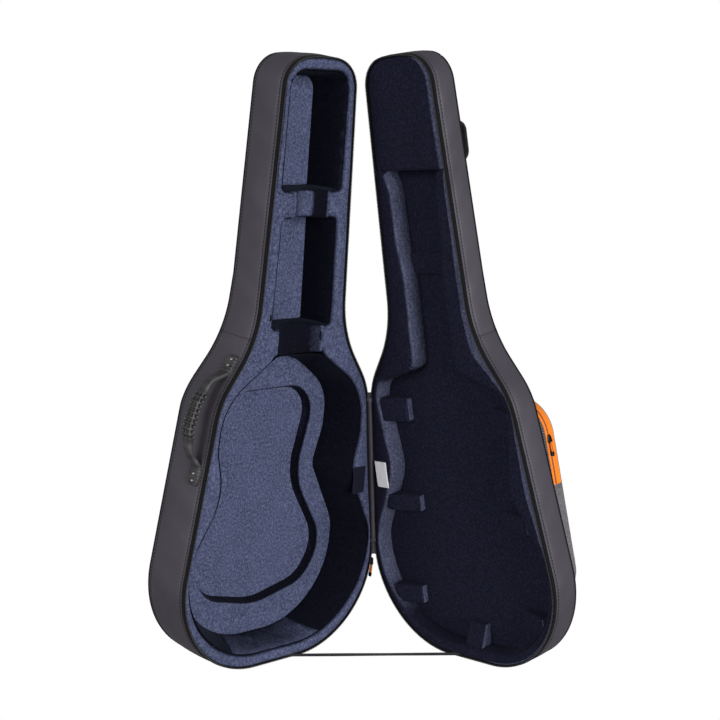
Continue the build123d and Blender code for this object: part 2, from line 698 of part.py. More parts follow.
nodes = {
    "base_back_panel": base_back_panel, "base_piping": base_piping, "base_body_band": base_body_band,
    "base_neck_band": base_neck_band, "base_rim_binding": base_rim_binding,
    "base_zip": base_zip,
    "base_floor_foam": base_floor_foam, "base_wall_foam": base_wall_foam,
    "base_shelf_pad": base_shelf_pad, "base_recess_floor": base_recess_floor,
    "base_tail_pad": base_tail_pad, "base_wall_pad_hinge": base_wall_pad_hinge,
    "base_wall_pad_free": base_wall_pad_free, "base_heel_block": base_heel_block,
    "base_well_pad": base_well_pad, "base_neck_saddle": base_neck_saddle,
    "base_head_pad": base_head_pad, "base_head_roll": base_head_roll, "base_lip_pad": base_lip_pad,
    "hook_patch": hook_patch, "cord_loop": cord_loop,
    "lid_front_panel": lid_front_panel, "lid_piping": lid_piping, "lid_body_band": lid_body_band,
    "lid_neck_band": lid_neck_band, "lid_rim_binding": lid_rim_binding,
    "lid_zip": lid_zip,
    "lid_floor_foam": lid_floor_foam, "lid_wall_foam": lid_wall_foam,
    "lid_recess_floor": lid_recess_floor, "lid_head_pad": lid_head_pad,
    "lid_wall_pad": lid_wall_pad, "lid_lip_pad": lid_lip_pad, "lid_neck_rib": lid_neck_rib,
    "lid_bumper_upper_hinge": lid_bumper_upper_hinge, "lid_bumper_upper_free": lid_bumper_upper_free,
    "lid_bumper_waist_hinge": lid_bumper_waist_hinge, "lid_bumper_waist_free": lid_bumper_waist_free,
    "lid_bumper_lower_hinge": lid_bumper_lower_hinge, "lid_bumper_lower_free": lid_bumper_lower_free,
    "lid_bumper_tail": lid_bumper_tail, "lid_label": lid_label,
    "spine_base_leaf": spine_base_leaf, "spine_lid_leaf": spine_lid_leaf,
    "pocket_panel": pocket_panel, "pocket_gusset": pocket_gusset, "pocket_zip": pocket_zip,
    "strap_base_tab": strap_base_tab, "strap_lid_tab": strap_lid_tab,
    "restraint_strap": restraint_strap,
    "handle_plate_lower": handle_plate_lower, "handle_plate_upper": handle_plate_upper,
    "handle_rivets": handle_rivets, "handle_grip": handle_grip, "neck_handle": neck_handle,
    "main_slider": main_slider, "main_pull": main_pull,
    "pocket_slider": pocket_slider, "pocket_pull": pocket_pull,
}

os.makedirs("parts", exist_ok=True)
for name, piece in nodes.items():
    piece.part.label = name
    export_step(piece.part, f"parts/{name}.step")
print(len(nodes), "pieces")
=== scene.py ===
import json
import math

import bpy
import mathutils
import numpy as np
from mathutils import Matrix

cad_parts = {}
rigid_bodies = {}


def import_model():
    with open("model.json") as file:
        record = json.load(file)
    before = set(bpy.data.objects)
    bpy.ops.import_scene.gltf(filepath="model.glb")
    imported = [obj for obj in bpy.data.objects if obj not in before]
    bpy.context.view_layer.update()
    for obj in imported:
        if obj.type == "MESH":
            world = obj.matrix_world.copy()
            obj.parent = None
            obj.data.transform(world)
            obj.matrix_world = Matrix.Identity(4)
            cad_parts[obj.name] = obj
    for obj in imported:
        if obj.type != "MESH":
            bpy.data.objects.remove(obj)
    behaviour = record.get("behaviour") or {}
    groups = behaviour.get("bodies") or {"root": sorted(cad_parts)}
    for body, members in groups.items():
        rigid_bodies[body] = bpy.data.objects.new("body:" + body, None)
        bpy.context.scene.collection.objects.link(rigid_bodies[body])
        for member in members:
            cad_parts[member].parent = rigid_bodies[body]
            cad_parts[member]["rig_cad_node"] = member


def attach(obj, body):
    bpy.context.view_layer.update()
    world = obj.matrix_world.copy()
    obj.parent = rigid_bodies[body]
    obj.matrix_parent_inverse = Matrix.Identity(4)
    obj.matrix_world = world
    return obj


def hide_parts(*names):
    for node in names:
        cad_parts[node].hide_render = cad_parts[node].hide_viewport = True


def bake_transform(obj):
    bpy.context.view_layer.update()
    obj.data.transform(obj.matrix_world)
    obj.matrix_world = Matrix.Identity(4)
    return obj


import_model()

for name in ("Cube", "Camera", "Light"):
    spare = bpy.data.objects.get(name)
    if spare is not None and "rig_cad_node" not in spare:
        bpy.data.objects.remove(spare)
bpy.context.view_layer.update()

bl_info = {
    "name": "Guitar Case Dresser",
    "version": (1, 0, 0),
    "blender": (4, 5, 0),
    "location": "View3D > Sidebar > Case",
    "description": "Dresses a zipped foam guitar case with skins, plush pads, zips and straps",
    "category": "Add Mesh",
}

# Outlines are in millimetres: x toward the hinge side, y from the tail end, and depth from
# each half's rim toward its outer face. Corners are (x, y, radius), mirrored about x = 0.
MM = 0.001
UP = np.array([0, 0, 1.0])
LENGTH = 1060.0
TAIL_WIDTH, TAIL_RADIUS = 243, 165
SHOULDER, NECK_ROOT = (167, 488), (96.5, 591)
OUTLINE = [
    (TAIL_WIDTH, 0, TAIL_RADIUS), (*SHOULDER, 140), (*NECK_ROOT, 200), (77, 1051.5, 51.5),
    (0, LENGTH, 250),
]
BODY_LIP = [
    (206, 24, 162), (205, 215, 90), (143, 325, 120), (161, 400, 50), (157, 480, 105),
]
BASE_LIP = BODY_LIP + [(50, 556, 15)]
BASE_INNER = BODY_LIP + [
    (55, 552, 40), (45, 582, 40), (49, 604, 7), (66, 606, 7), (60, 789, 7), (37, 792, 6),
    (37, 835, 6), (66, 838, 7), (63, 1034, 30),
]
SHELF = [
    (172, 33, 150), (172, 215, 70), (112, 332, 36), (132, 400, 60), (133, 470, 80), (46, 541, 118),
]
RECESS = [
    (0, 85, 120), (111, 111, 66), (152, 181, 74), (80, 300, 110), (80, 345, 110), (98, 420, 60),
    (96, 481, 52),
]
LID_RECESS = [
    (203, 24, 150), (203, 200, 80), (136, 330, 90), (159, 490, 40), (47, 526, 24),
    (42, 690, 60), (50, 735, 60), (51, 830, 40), (60, 868, 3),
]
LID_INNER = LID_RECESS[:-1] + [(60, 866.5, 3), (70.8, 868.5, 3), (63.4, 1038, 37), (0, 1046, 236)]
LID_HEAD = [(80.6, 867.5, 5), (72.8, 1047.4, 46), (0, 1055.6, 245)]
POCKET_LOW, POCKET_HIGH = 110, 462
POCKET = [(185, POCKET_LOW, 60), (160, POCKET_HIGH, 60)]

RAMP = (470.0, 690.0)
BAND_SEAM = 592
ZIP_BREAK = (186, 462)
POCKET_ZIP_START = 322
POCKET_TEETH = 84.5
RIM_GAP, HINGE_STAND_OFF = 8, 0.8
WALL_TOP, WALL_FOOT, WALL_STITCHES = 5.6, 3.6, 11.5
WALL_START = 3.0
SHELF_LEVEL, SHELF_ROLL = 70.4, 4.0
RECESS_LEVEL, WELL_LEVEL, HEAD_LEVEL = 86.0, 66.0, 69.4
WELL_LOW, WELL_HIGH, HEAD_LOW = 605, 790, 837
WELL = [(66, WELL_LOW, 3), (60, WELL_HIGH, 3)], [(53, WELL_LOW, 3), (48, WELL_HIGH, 3)]
HEAD_WELL = [(66, HEAD_LOW, 4), (63, 1034, 30)], [(47, HEAD_LOW, 4), (44, 1022, 24)]
ROLL_START = 1019
LID_LEVEL = 30.4
PIPING_RADIUS = 2.0
STRAP_EDGES, STRAP_Y, STRAP_LEVEL = (24, 44), 3.95, -3.2
HANDLE_DEPTH = 27.0

# A round-bottomed channel is a circle's radius, and how far its centre stands above the rim.
HEEL, SADDLE = (55, 23), (42, 24)
SLOPE = math.atan2(TAIL_WIDTH - SHOULDER[0], SHOULDER[1])
SHOULDER_WAY = (SHOULDER[0] - NECK_ROOT[0], NECK_ROOT[1] - SHOULDER[1])

# Points of an inner outline, each with the point of the outer outline that goes with it.
BASE_KEYS = [
    ((0, 24), (0, 0)), ((206, 195), (212, 195)), ((145, 325), (192, 325)), ((157, 470), (168, 478)),
    ((51, 556), (108, 572)), ((64, 640), (94, 640)), ((60, 789), (88, 789)),
    ((66, 845), (85.5, 845)),
    ((64, 1000), (79, 1000)), ((0, 1034), (0, 1060)),
]
LID_KEYS = [
    ((0, 24), (0, 0)), ((203, 190), (212, 190)), ((138, 330), (191, 330)), ((154, 470), (169, 474)),
    ((47, 527), (108, 572)), ((42, 690), (92, 690)), ((51, 830), (86, 830)),
    ((70.5, 876), (84, 876)),
    ((65, 1000), (79, 1000)), ((0, 1046), (0, 1060)),
]
SHELF_KEYS = [
    ((0, 85), (0, 33)), ((147, 183), (172, 190)), ((80, 322), (113, 332)), ((98, 425), (133, 430)),
    ((62, 481), (100, 497)), ((0, 481), (0, 541)),
]


def unit(vector):
    """Vectors, each divided by its own length."""
    vector = np.asarray(vector, float)
    return vector / np.linalg.norm(vector, axis=-1, keepdims=True)


class Half:
    """One half of the case. A place in metres is the origin plus x, y and depth in millimetres,
    each along its own axis."""

    def __init__(self, body, origin, axes, depth, neck_depth):
        self.body, self.depths = body, (depth, neck_depth)
        self.origin, self.axes = np.array(origin, float), np.array(axes, float)
        self.mirrored = np.linalg.det(self.axes) < 0

    def place(self, x, y, depth):
        return (self.origin + np.stack(np.broadcast_arrays(x, y, depth), -1) @ self.axes) * MM

    def lay(self, xy, depth):
        """The place of x, y points at a depth."""
        return self.place(xy[..., 0], xy[..., 1], depth)

    def aim(self, xy):
        """A direction in x and y as one in space."""
        return np.asarray(xy) @ self.axes[:2]

    def back(self, y):
        """The depth of the outer face at y, with its ramp from body to neck."""
        return np.interp(y, RAMP, self.depths)


def make_halves():
    """The halves, and the hinge's place and axes. The hinge lies along the slanted side, half the
    rims' gap above the base's rim, and the open lid stands upright on it."""
    out = np.array([math.cos(SLOPE), math.sin(SLOPE), 0])
    along = np.array([-math.sin(SLOPE), math.cos(SLOPE), 0])
    reach = TAIL_WIDTH * math.cos(SLOPE) + HINGE_STAND_OFF
    tail = np.array([0, -240.0, 102.0])
    hinge = tail + out * reach + UP * RIM_GAP / 2
    across = -UP * math.cos(SLOPE) - along * math.sin(SLOPE)
    base = Half("base", tail, [(1, 0, 0), (0, 1, 0), (0, 0, -1)], 102, 81.5)
    stand = hinge + UP * reach + out * RIM_GAP / 2
    lid = Half("lid", stand, [across, np.cross(out, across), out], 57.5, 51.5)
    return base, lid, hinge, along, out


BASE, LID, HINGE, HINGE_ALONG, HINGE_OUT = make_halves()


def fillet_path(corners, closed, step, counts=None):
    """Points along straight runs joined by arcs. A corner's arc touches both of its runs at
    radius times the tangent of half the turn. Counts give each arc's and run's number of points,
    so that two paths match. Returns points, outward normals and the counts."""
    xy = np.array([c[:2] for c in corners], float)
    size = len(xy)
    arcs, used = [], []
    for i, here in enumerate(xy):
        if not closed and i in (0, size - 1):
            arcs.append((here, here, None, 0.0, 0.0))
            continue
        radius = corners[i][2]
        before, after = unit(here - xy[i - 1]), unit(xy[(i + 1) % size] - here)
        turn = math.atan2(before[0] * after[1] - before[1] * after[0], before @ after)
        cut = radius * math.tan(abs(turn) / 2)
        start = here - before * cut
        left = np.array([-before[1], before[0]]) * math.copysign(1, turn)
        arcs.append((start, here + after * cut, start + left * radius, turn, radius))
    points, normals = [], []
    for i, (start, end, centre, turn, radius) in enumerate(arcs):
        arc = 0
        if counts:
            arc = counts[2 * i]
        elif centre is not None:
            arc = max(2, math.ceil(abs(turn) * radius / step))
        if centre is not None:
            first = math.atan2(start[1] - centre[1], start[0] - centre[0])
            angle = first + turn * np.arange(arc) / max(arc, 1)
            ray = np.stack([np.cos(angle), np.sin(angle)], 1)
            points.append(centre + ray * radius)
            normals.append(ray * math.copysign(1, turn))
        if not closed and i == size - 1:
            points.append(end[None])
            normals.append(normals[-1][-1:])
            continue
        gap = arcs[(i + 1) % size][0] - end
        length = float(np.linalg.norm(gap))
        run = counts[2 * i + 1] if counts else max(1, math.ceil(length / step))
        used += [arc, run]
        way = gap / max(length, 1e-9)
        points.append(end + gap * (np.arange(run) / run)[:, None])
        normals.append(np.repeat([[way[1], -way[0]]], run, 0))
    return np.concatenate(points), np.concatenate(normals), used


def open_path(corners, step):
    """An open fillet path without its doubled points."""
    path, normals, _ = fillet_path(corners, False, step)
    keep = np.append(True, np.linalg.norm(np.diff(path, axis=0), axis=1) > 1e-6)
    return path[keep], normals[keep]


class Loop:
    """A closed rounded outline, sampled evenly, with its normals and its length along. It can be
    grown outward, or inward by less than nothing."""

    def __init__(self, corners, step=4.0, counts=None, grow=0.0):
        full = list(corners) + [(-x, y, r) for x, y, r in reversed(corners) if x > 0]
        points, self.normals, self.counts = fillet_path(full, True, step, counts)
        self.points = points + self.normals * grow
        gaps = np.linalg.norm(np.roll(self.points, -1, 0) - self.points, axis=1)
        self.along = np.concatenate([[0], np.cumsum(gaps)[:-1]])
        self.length = float(gaps.sum())
        self.low, self.high = self.points[:, 1].min(), self.points[:, 1].max()

    def nearest(self, x, y):
        """The distance along the loop to the sample nearest to x, y."""
        return self.along[np.argmin(np.linalg.norm(self.points - (x, y), axis=1))]

    def at(self, distance):
        """Points and normals at distances along the loop."""
        spread = np.append(self.along, self.length)
        where = np.mod(distance, self.length)
        points, normals = [
            np.stack([np.interp(where, spread, np.append(line, line[0])) for line in values.T], 1)
            for values in (self.points, self.normals)
        ]
        return points, unit(normals)

    def half_width(self, y):
        """The outline's half width at y, from its right side."""
        right = self.points[self.points[:, 0] >= -1e-6]
        order = np.argsort(right[:, 1])
        return np.interp(y, right[order, 1], right[order, 0])


def paired(inner, outer, keys):
    """For each sample of the inner loop, the outer loop's point that goes with it. Matching
    key points, and their mirror images, hold the two loops together, and the rest is shared
    out evenly by length between them."""
    spots = [(inner.nearest(*a), outer.nearest(*b)) for a, b in keys]
    spots += [
        (inner.nearest(-a[0], a[1]), outer.nearest(-b[0], b[1])) for a, b in keys if a[0] > 0
    ]
    first, second = np.array(sorted(spots)).T
    second = np.unwrap(second / outer.length * math.tau) / math.tau * outer.length
    first = np.concatenate([[first[-1] - inner.length], first, [first[0] + inner.length]])
    second = np.concatenate([[second[-1] - outer.length], second, [second[0] + outer.length]])
    return outer.at(np.interp(inner.along, first, second))[0]


def ripple(distance, wave, seed):
    """A gentle wandering value between about -1 and 1: three sines whose waves don't repeat."""
    shift = np.random.RandomState(seed).uniform(0, math.tau, 3)
    stretches = (1, 1.73, 0.61)
    return sum(
        np.sin(distance * math.tau / (wave * k) + shift[i] + i) for i, k in enumerate(stretches)
    ) / 2.2


def ramp(values, start, width):
    """0 before the start, and rising evenly to 1 over the width; a negative width goes down."""
    return np.clip((values - start) / width, 0, 1)


def near(values, spots, width):
    """1 at any of the spots and fading to 0 at the width away from them."""
    gaps = np.min([np.abs(values - spot) for spot in spots], axis=0)
    return np.clip(1 - gaps / width, 0, 1)


# Materials


class Wire:
    """A shader value that can be added, multiplied and compared; each step is one Math node."""

    def __init__(self, board, socket):
        self.board, self.socket = board, socket

    def step(self, kind, *values, clamp=False):
        """One Math node of this kind on the wire and further values."""
        settings = {"operation": kind, "use_clamp": clamp}
        inputs = dict(enumerate((self, *values)))
        return self.board.node("ShaderNodeMath", settings=settings, inputs=inputs)

    def __add__(self, other):
        return self.step("ADD", other)

    def __sub__(self, other):
        return self.step("SUBTRACT", other)

    def __rsub__(self, other):
        return self * -1.0 + other

    def __mul__(self, other):
        return self.step("MULTIPLY", other)

    __radd__, __rmul__ = __add__, __mul__

    def over(self, edge, soft):
        """0 below the edge and 1 above it, over a soft width."""
        return ((self - edge) * (1 / soft) + 0.5).step("MULTIPLY", 1.0, clamp=True)


class Board:
    """A node tree that nodes are added to, one at a time, each with its inputs."""

    def __init__(self, tree):
        self.tree = tree

    def feed(self, slot, value):
        """Links a wire to an input, or sets the input to a value."""
        if isinstance(value, Wire):
            self.tree.links.new(value.socket, slot)
        else:
            slot.default_value = value

    def node(self, kind, output=0, settings=None, inputs=None):
        """Adds a node and returns one of its outputs as a wire, if it has any."""
        node = self.tree.nodes.new(kind)
        for key, value in (settings or {}).items():
            setattr(node, key, value)
        for key, value in (inputs or {}).items():
            self.feed(node.inputs[key], value)
        return Wire(self, node.outputs[output]) if len(node.outputs) else None


class Paint(Board):
    """A material under construction: textures in, one Principled surface out. Sizes are in
    millimetres, on the object's own coordinates."""

    def __init__(self, name):
        self.material = bpy.data.materials.new(name)
        self.material.use_nodes = True
        super().__init__(self.material.node_tree)
        self.surface = self.tree.nodes["Principled BSDF"]
        self.place = self.node("ShaderNodeTexCoord", "Object")

    def attribute(self, name):
        """A number that the mesh carries at each point, or 0 where it carries none."""
        return self.node("ShaderNodeAttribute", 2, {"attribute_name": name})

    def noise(self, size, detail=2.0, stretch=None, roughness=0.5, twist=0.0):
        """Noise whose blobs are about this size across."""
        where = self.place
        if stretch:
            where = self.node("ShaderNodeMapping", inputs={"Vector": where, "Scale": stretch})
        return self.node("ShaderNodeTexNoise", inputs={
            "Vector": where, "Scale": 1 / MM / size, "Detail": detail, "Roughness": roughness,
            "Distortion": twist,
        })

    def cells(self, size):
        """The distance from the nearest of many scattered points, about this size apart."""
        inputs = {"Vector": self.place, "Scale": 1 / MM / size}
        return self.node("ShaderNodeTexVoronoi", inputs=inputs)

    def waves(self, size, direction):
        """A sine wave of this length along one axis."""
        settings = {"bands_direction": direction, "wave_profile": "SIN"}
        scale = math.tau / 20 / MM / size
        return self.node("ShaderNodeTexWave", 1, settings, {"Vector": self.place, "Scale": scale})

    def blend(self, factor, first, second):
        """The first colour at 0, the second at 1, and an even mix between."""
        inputs = {"Factor": factor, 6: first, 7: second}
        return self.node("ShaderNodeMix", 2, {"data_type": "RGBA"}, inputs)

    def done(self, color, roughness, height, depth, strength, **fixed):
        """Joins colour, roughness and a bump of this height to the surface, with fixed values."""
        bump = self.node(
            "ShaderNodeBump", inputs={"Height": height, "Distance": depth, "Strength": strength}
        )
        self.feed(self.surface.inputs["Base Color"], color)
        self.feed(self.surface.inputs["Roughness"], roughness)
        self.feed(self.surface.inputs["Normal"], bump)
        for key, value in fixed.items():
            self.surface.inputs[key.replace("_", " ")].default_value = value
        return self.material


def rgb(r, g, b):
    return (r, g, b, 1.0)


def leatherette(name, dark, light):
    """Grain of cells and fine noise, two tones in broad patches, and a few pale scuffs."""
    paint = Paint(name)
    grain = paint.cells(1.1) * 0.6 + paint.noise(0.45) * 0.4
    patches = paint.noise(70, 3).over(0.5, 0.5)
    scuffs = paint.noise(16, 4, stretch=(1, 0.35, 1)).over(0.70, 0.2)
    color = paint.blend(patches, dark, light)
    color = paint.blend(scuffs * 0.06, color, rgb(0.16, 0.155, 0.165))
    rough = grain * 0.18 + patches * 0.06 + 0.36
    return paint.done(color, rough, grain, 0.00016, 0.55, Specular_IOR_Level=0.5)


def plush(name, shade, dark, pile, tips, bare):
    """Short pile with painted shade: by the normal in the object's own frame, what faces up gets
    the pile colour as though lit from above, and what faces sideways gets the near-black shade
    colour as painted shade. So does what the shade attribute marks, and where that attribute is
    below 0 it paints a highlight instead. Brushed patches and bright fibre tips break it up, and
    bare is how far the tips show among the painted shade."""
    paint = Paint(name)
    # Painted shade: each face's normal in the object's own frame, against a direction near straight
    # up, decides how lit it is painted.
    facing = {0: paint.node("ShaderNodeTexCoord", "Normal"), 1: (-0.12, 0.0, 0.99)}
    upright = paint.node("ShaderNodeVectorMath", 1, {"operation": "DOT_PRODUCT"}, facing)
    lean = paint.noise(30, 4, stretch=(1, 0.6, 1), roughness=0.6, twist=0.7)
    fine = paint.noise(1.3, 3, roughness=0.75)
    clumps = paint.noise(3.4, 3, stretch=(1, 0.75, 1), roughness=0.7)
    # Painted light and shade: how far a face turns up, nudged by the brushed patches and less the
    # shade attribute, sets how much pile colour it gets against painted shade.
    lit = (upright + (lean - 0.5) * 0.18 - paint.attribute("shade")).over(0.69, 0.42)
    speck = (clumps * 0.5 + fine * 0.5).over(0.54, 0.16)
    above = paint.blend(speck * 0.75, paint.blend(lean.over(0.5, 0.6), dark, pile), tips)
    # Painted shade: faces that the mask leaves unlit get the near-black shade colour, mixed with a
    # little dark pile.
    color = paint.blend(lit, paint.blend(speck * bare, shade, dark), above)
    height = fine * 0.5 + clumps * 0.6 + lean * 0.5
    return paint.done(
        color, fine * 0.12 + 0.84, height, 0.0013, 0.85, Sheen_Weight=0.1, Sheen_Roughness=0.45,
        Sheen_Tint=tips, Specular_IOR_Level=0.06,
    )


def woven(name, dark, light, pitch, sheen=0.1):
    """Three crossing waves as threads, with stretched noise as slubs."""
    paint = Paint(name)
    over = (paint.waves(pitch, "X") * paint.waves(pitch, "Y") + paint.waves(pitch, "Z")) * 0.5
    slubs = paint.noise(6, 3, stretch=(1, 0.2, 1))
    color = paint.blend(over * 0.6 + slubs * 0.4, dark, light)
    return paint.done(
        color, slubs * 0.15 + 0.7, over + slubs * 0.4, 0.0003, 0.7, Sheen_Weight=sheen,
        Specular_IOR_Level=0.08,
    )


def heather(name, dark, light):
    """Mixed threads: noise stretched both ways over the waves of a plain weave."""
    paint = Paint(name)
    threads, cross = [
        paint.noise(1.3, 3, stretch=way, roughness=0.8) for way in ((1, 0.25, 1), (0.25, 1, 1))
    ]
    weave = paint.waves(1.2, "Z") * 0.5 + paint.waves(1.2, "Y") * 0.5
    mixed = (threads + cross) * 0.5
    color = paint.blend(mixed.over(0.5, 0.22), dark, light)
    return paint.done(color, mixed * 0.1 + 0.78, weave + mixed, 0.0003, 0.7, Sheen_Weight=0.15)


def coil(name, dark, light, rough):
    """A zip's plastic teeth, with worn and fresh patches."""
    paint = Paint(name)
    wear = paint.noise(3)
    color = paint.blend(wear, dark, light)
    return paint.done(color, wear * 0.2 + rough, paint.noise(0.5), 0.0001, 0.4)


def moulded(name):
    """Speckled rubber with faint marks, and painted shade, near black, where the pit attribute is
    1, darkening the handle's pits.
    """
    paint = Paint(name)
    speck = paint.noise(0.7, 3)
    marks = paint.noise(14, 3).over(0.55, 0.3)
    color = paint.blend(marks, rgb(0.020, 0.019, 0.021), rgb(0.050, 0.048, 0.053))
    color = paint.blend(paint.attribute("pit"), color, rgb(0.001, 0.001, 0.001))
    return paint.done(color, speck * 0.15 + 0.42, speck, 0.00015, 0.5)


def metal(name, dark, light):
    """Brushed metal: noise stretched one way."""
    paint = Paint(name)
    rub = paint.noise(2.5, 4, stretch=(1, 4, 1))
    color = paint.blend(rub, dark, light)
    return paint.done(color, rub * 0.15 + 0.34, rub, 0.00005, 0.3, Metallic=1.0)


# Each finish's maker and what it takes: tones, which are values or the names of the case's
# colours, and then numbers such as the weave's pitch and sheen.
FINISHES = {
    "leatherette": (leatherette, "skin_dark", "skin_light"),
    "plush_blue": (plush, "base_shade", "base_dark", "base_pile", "base_tips", 0.16),
    "plush_navy": (plush, "lid_shade", "lid_dark", "lid_pile", "lid_tips", 0.5),
    "black_trim": (woven, rgb(0.003, 0.003, 0.0035), rgb(0.010, 0.010, 0.012), 1.5, 0.03),
    "hook_tape": (woven, rgb(0.004, 0.0045, 0.011), rgb(0.012, 0.013, 0.027), 0.9, 0.03),
    "thread": (woven, rgb(0.003, 0.003, 0.0035), rgb(0.012, 0.0115, 0.0125), 0.8),
    "webbing": (woven, rgb(0.008, 0.008, 0.009), rgb(0.04, 0.04, 0.045), 2.4),
    "label_white": (woven, rgb(0.68, 0.68, 0.70), rgb(0.86, 0.86, 0.88), 0.7),
    "pocket_grey": (heather, "pocket_dark", "pocket_light"),
    "orange_zip": (woven, "zip_dark", "zip_light", 1.3),
    "orange_dark": (coil, rgb(0.30, 0.045, 0.004), rgb(0.50, 0.09, 0.01), 0.4),
    "zip_coil": (coil, rgb(0.012, 0.012, 0.013), rgb(0.035, 0.035, 0.038), 0.35),
    "handle_rubber": (moulded,),
    "rivet_steel": (metal, rgb(0.16, 0.16, 0.165), rgb(0.34, 0.34, 0.345)),
    "black_metal": (metal, rgb(0.012, 0.012, 0.013), rgb(0.05, 0.05, 0.052)),
}
PAINTS = {}


def finish(name):
    """The material of this name, made when it is first asked for."""
    if name not in PAINTS:
        colors = bpy.context.scene.case_colors
        maker, *values = FINISHES[name]
        values = [getattr(colors, value) if isinstance(value, str) else value for value in values]
        PAINTS[name] = maker(f"case_{name}", *values)
    return PAINTS[name]




# Mesh making. A part is an array of points in metres and a list of arrays of faces, each with
# one face a row.


def emit(name, parts, body, paint, slot=None, nodes=(), flip=False):
    """Makes one object at the origin from parts. It rides on its body, or on none for a piece that
    spans both halves."""
    points, faces, start = [], [], 0
    for spots, groups in parts:
        points.append(spots)
        for group in groups:
            faces += (start + (group[:, ::-1] if flip else group)).tolist()
        start += len(spots)
    mesh = bpy.data.meshes.new(name)
    mesh.from_pydata(np.concatenate(points).tolist(), [], faces)
    mesh.polygons.foreach_set("use_smooth", [True] * len(mesh.polygons))
    mesh.materials.append(finish(paint))
    mesh.update()
    piece = bpy.data.objects.new(name, mesh)
    bpy.context.scene.collection.objects.link(piece)
    if body:
        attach(piece, body)
    if nodes:
        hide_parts(*nodes)
    slot or paint
    return piece


def dress(name, parts, half, paint, nodes, slot=None, inward=True):
    """Makes one of a half's pieces. Sheets that face the rim or a well are inward ones."""
    flip = not half.mirrored if inward else half.mirrored
    return emit(name, parts, half.body, paint, slot, nodes, flip)


PLUSH = {"base": "plush_blue", "lid": "plush_navy"}


def cushion(name, parts, half, nodes, inward=True):
    """Makes one of a half's padded pieces, in the half's own plush."""
    piece = dress(name, parts, half, PLUSH[half.body], nodes, inward=inward)
    return piece


def set_attribute(piece, name, values):
    """Gives each of a piece's points a value that its material reads."""
    made = piece.data.attributes.new(name, "FLOAT", "POINT")
    made.data.foreach_set("value", np.asarray(values, np.float32).ravel())


def grid(spots, wrap_rows=False, wrap_columns=False, caps=False):
    """Faces over a grid of points (rows, columns, 3), wrapped either way, with end caps."""
    rows, columns = spots.shape[:2]
    index = np.arange(rows * columns).reshape(rows, columns)
    down = np.vstack([index, index[:1]]) if wrap_rows else index
    both = np.hstack([down, down[:, :1]]) if wrap_columns else down
    quads = np.stack([both[:-1, :-1], both[1:, :-1], both[1:, 1:], both[:-1, 1:]], -1)
    ends = [index[:1], index[-1:, ::-1]] if caps else []
    return spots.reshape(-1, 3), [quads.reshape(-1, 4)] + ends


def turned(part):
    """The same part with its faces the other way round."""
    return part[0], [group[:, ::-1] for group in part[1]]


def tube(path, radius, sides, closed=True):
    """A round tube along a path of points in metres."""
    ahead = np.roll(path, -1, 0) - np.roll(path, 1, 0)
    if not closed:
        ahead[0], ahead[-1] = path[1] - path[0], path[-1] - path[-2]
    ahead = unit(ahead)
    side = unit(np.cross(ahead, np.where(np.abs(ahead[:, 2:3]) > 0.9, [[1.0, 0, 0]], [UP])))
    over = np.cross(side, ahead)
    angles = np.linspace(0, math.tau, sides, endpoint=False)[None, :, None]
    ring = side[:, None] * np.cos(angles) + over[:, None] * np.sin(angles)
    return grid(path[:, None] + ring * radius, closed, True, not closed)


def soft_block(place, roundness, rings=9):
    """A padded block: a cube's skin with rounded edges, carried to its place by a function of
    three shares from 0 to 1. Roundness is the share of each half side that the edge takes."""
    steps = np.linspace(-1, 1, rings)
    a, b = np.meshgrid(steps, steps, indexing="ij")
    round_by = np.array(roundness, float)
    parts = []
    for axis in range(3):
        for sign in (-1, 1):
            cube = np.empty((rings, rings, 3))
            cube[..., axis] = sign
            cube[..., (axis + 1) % 3], cube[..., (axis + 2) % 3] = a, b
            core = np.clip(cube, round_by - 1, 1 - round_by)
            gap = (cube - core) / round_by
            reach = np.maximum(np.linalg.norm(gap, axis=-1, keepdims=True), 1)
            soft = (core + gap / reach * round_by + 1) / 2
            part = grid(place(*np.moveaxis(soft, -1, 0)))
            parts.append(part if sign > 0 else turned(part))
    return parts


def block_on(half, x, y, depth, puff=None):
    """A place function for a padded block between pairs of x, y and depth. The first depth may
    be a function of x and y, for a sloped top, and puff raises places by their shares."""

    def place(a, b, c):
        across, along = x[0] + (x[1] - x[0]) * a, y[0] + (y[1] - y[0]) * b
        top = depth[0](across, along) if callable(depth[0]) else depth[0]
        level = depth[1] + (top - depth[1]) * c
        return half.place(across, along, level - puff(a, b, c) if puff else level)

    return place


def framed(origin, ahead, out):
    """A place function in millimetres along, across and out from a point on a wall, in metres."""
    axes = np.array([ahead, np.cross(out, ahead), out], float) * MM
    return lambda u, v, w: origin + np.stack(np.broadcast_arrays(u, v, w), -1) @ axes


def dome(place, u, foot, radius, rise):
    """A rivet's round head: a low rim and a dome, turned about the line out of the wall."""
    rings = np.array([
        (1.0, 0.0), (1.0, 0.22), (0.93, 0.34), (0.85, 0.5), (0.66, 0.78), (0.38, 0.95), (0.05, 1.0),
    ])
    angles = np.linspace(0, math.tau, 24, endpoint=False)
    size, height = radius * rings[:, :1], foot + rise * rings[:, 1:]
    part = grid(place(u + size * np.cos(angles), size * np.sin(angles), height), wrap_columns=True)
    points, groups = turned(part)
    return points, groups + [np.arange(len(points) - 24, len(points))[None]]


def surface(half, points, normals, inset, depth):
    """Places for a sheet whose rows follow a loop: each is inset toward the middle, at a depth."""
    return half.lay(points[:, None] - normals[:, None] * inset[..., None], depth)


def at_level(level, depths, values):
    """Each row's value where its depths reach its level, mixed evenly from the two columns that
    the level lies between."""
    row = np.arange(len(level))
    after = np.clip((depths < level[:, None]).sum(1), 1, depths.shape[1] - 1)
    before = after - 1
    share = (level - depths[row, before]) / (depths[row, after] - depths[row, before])
    return values[row, before] * (1 - share) + values[row, after] * share


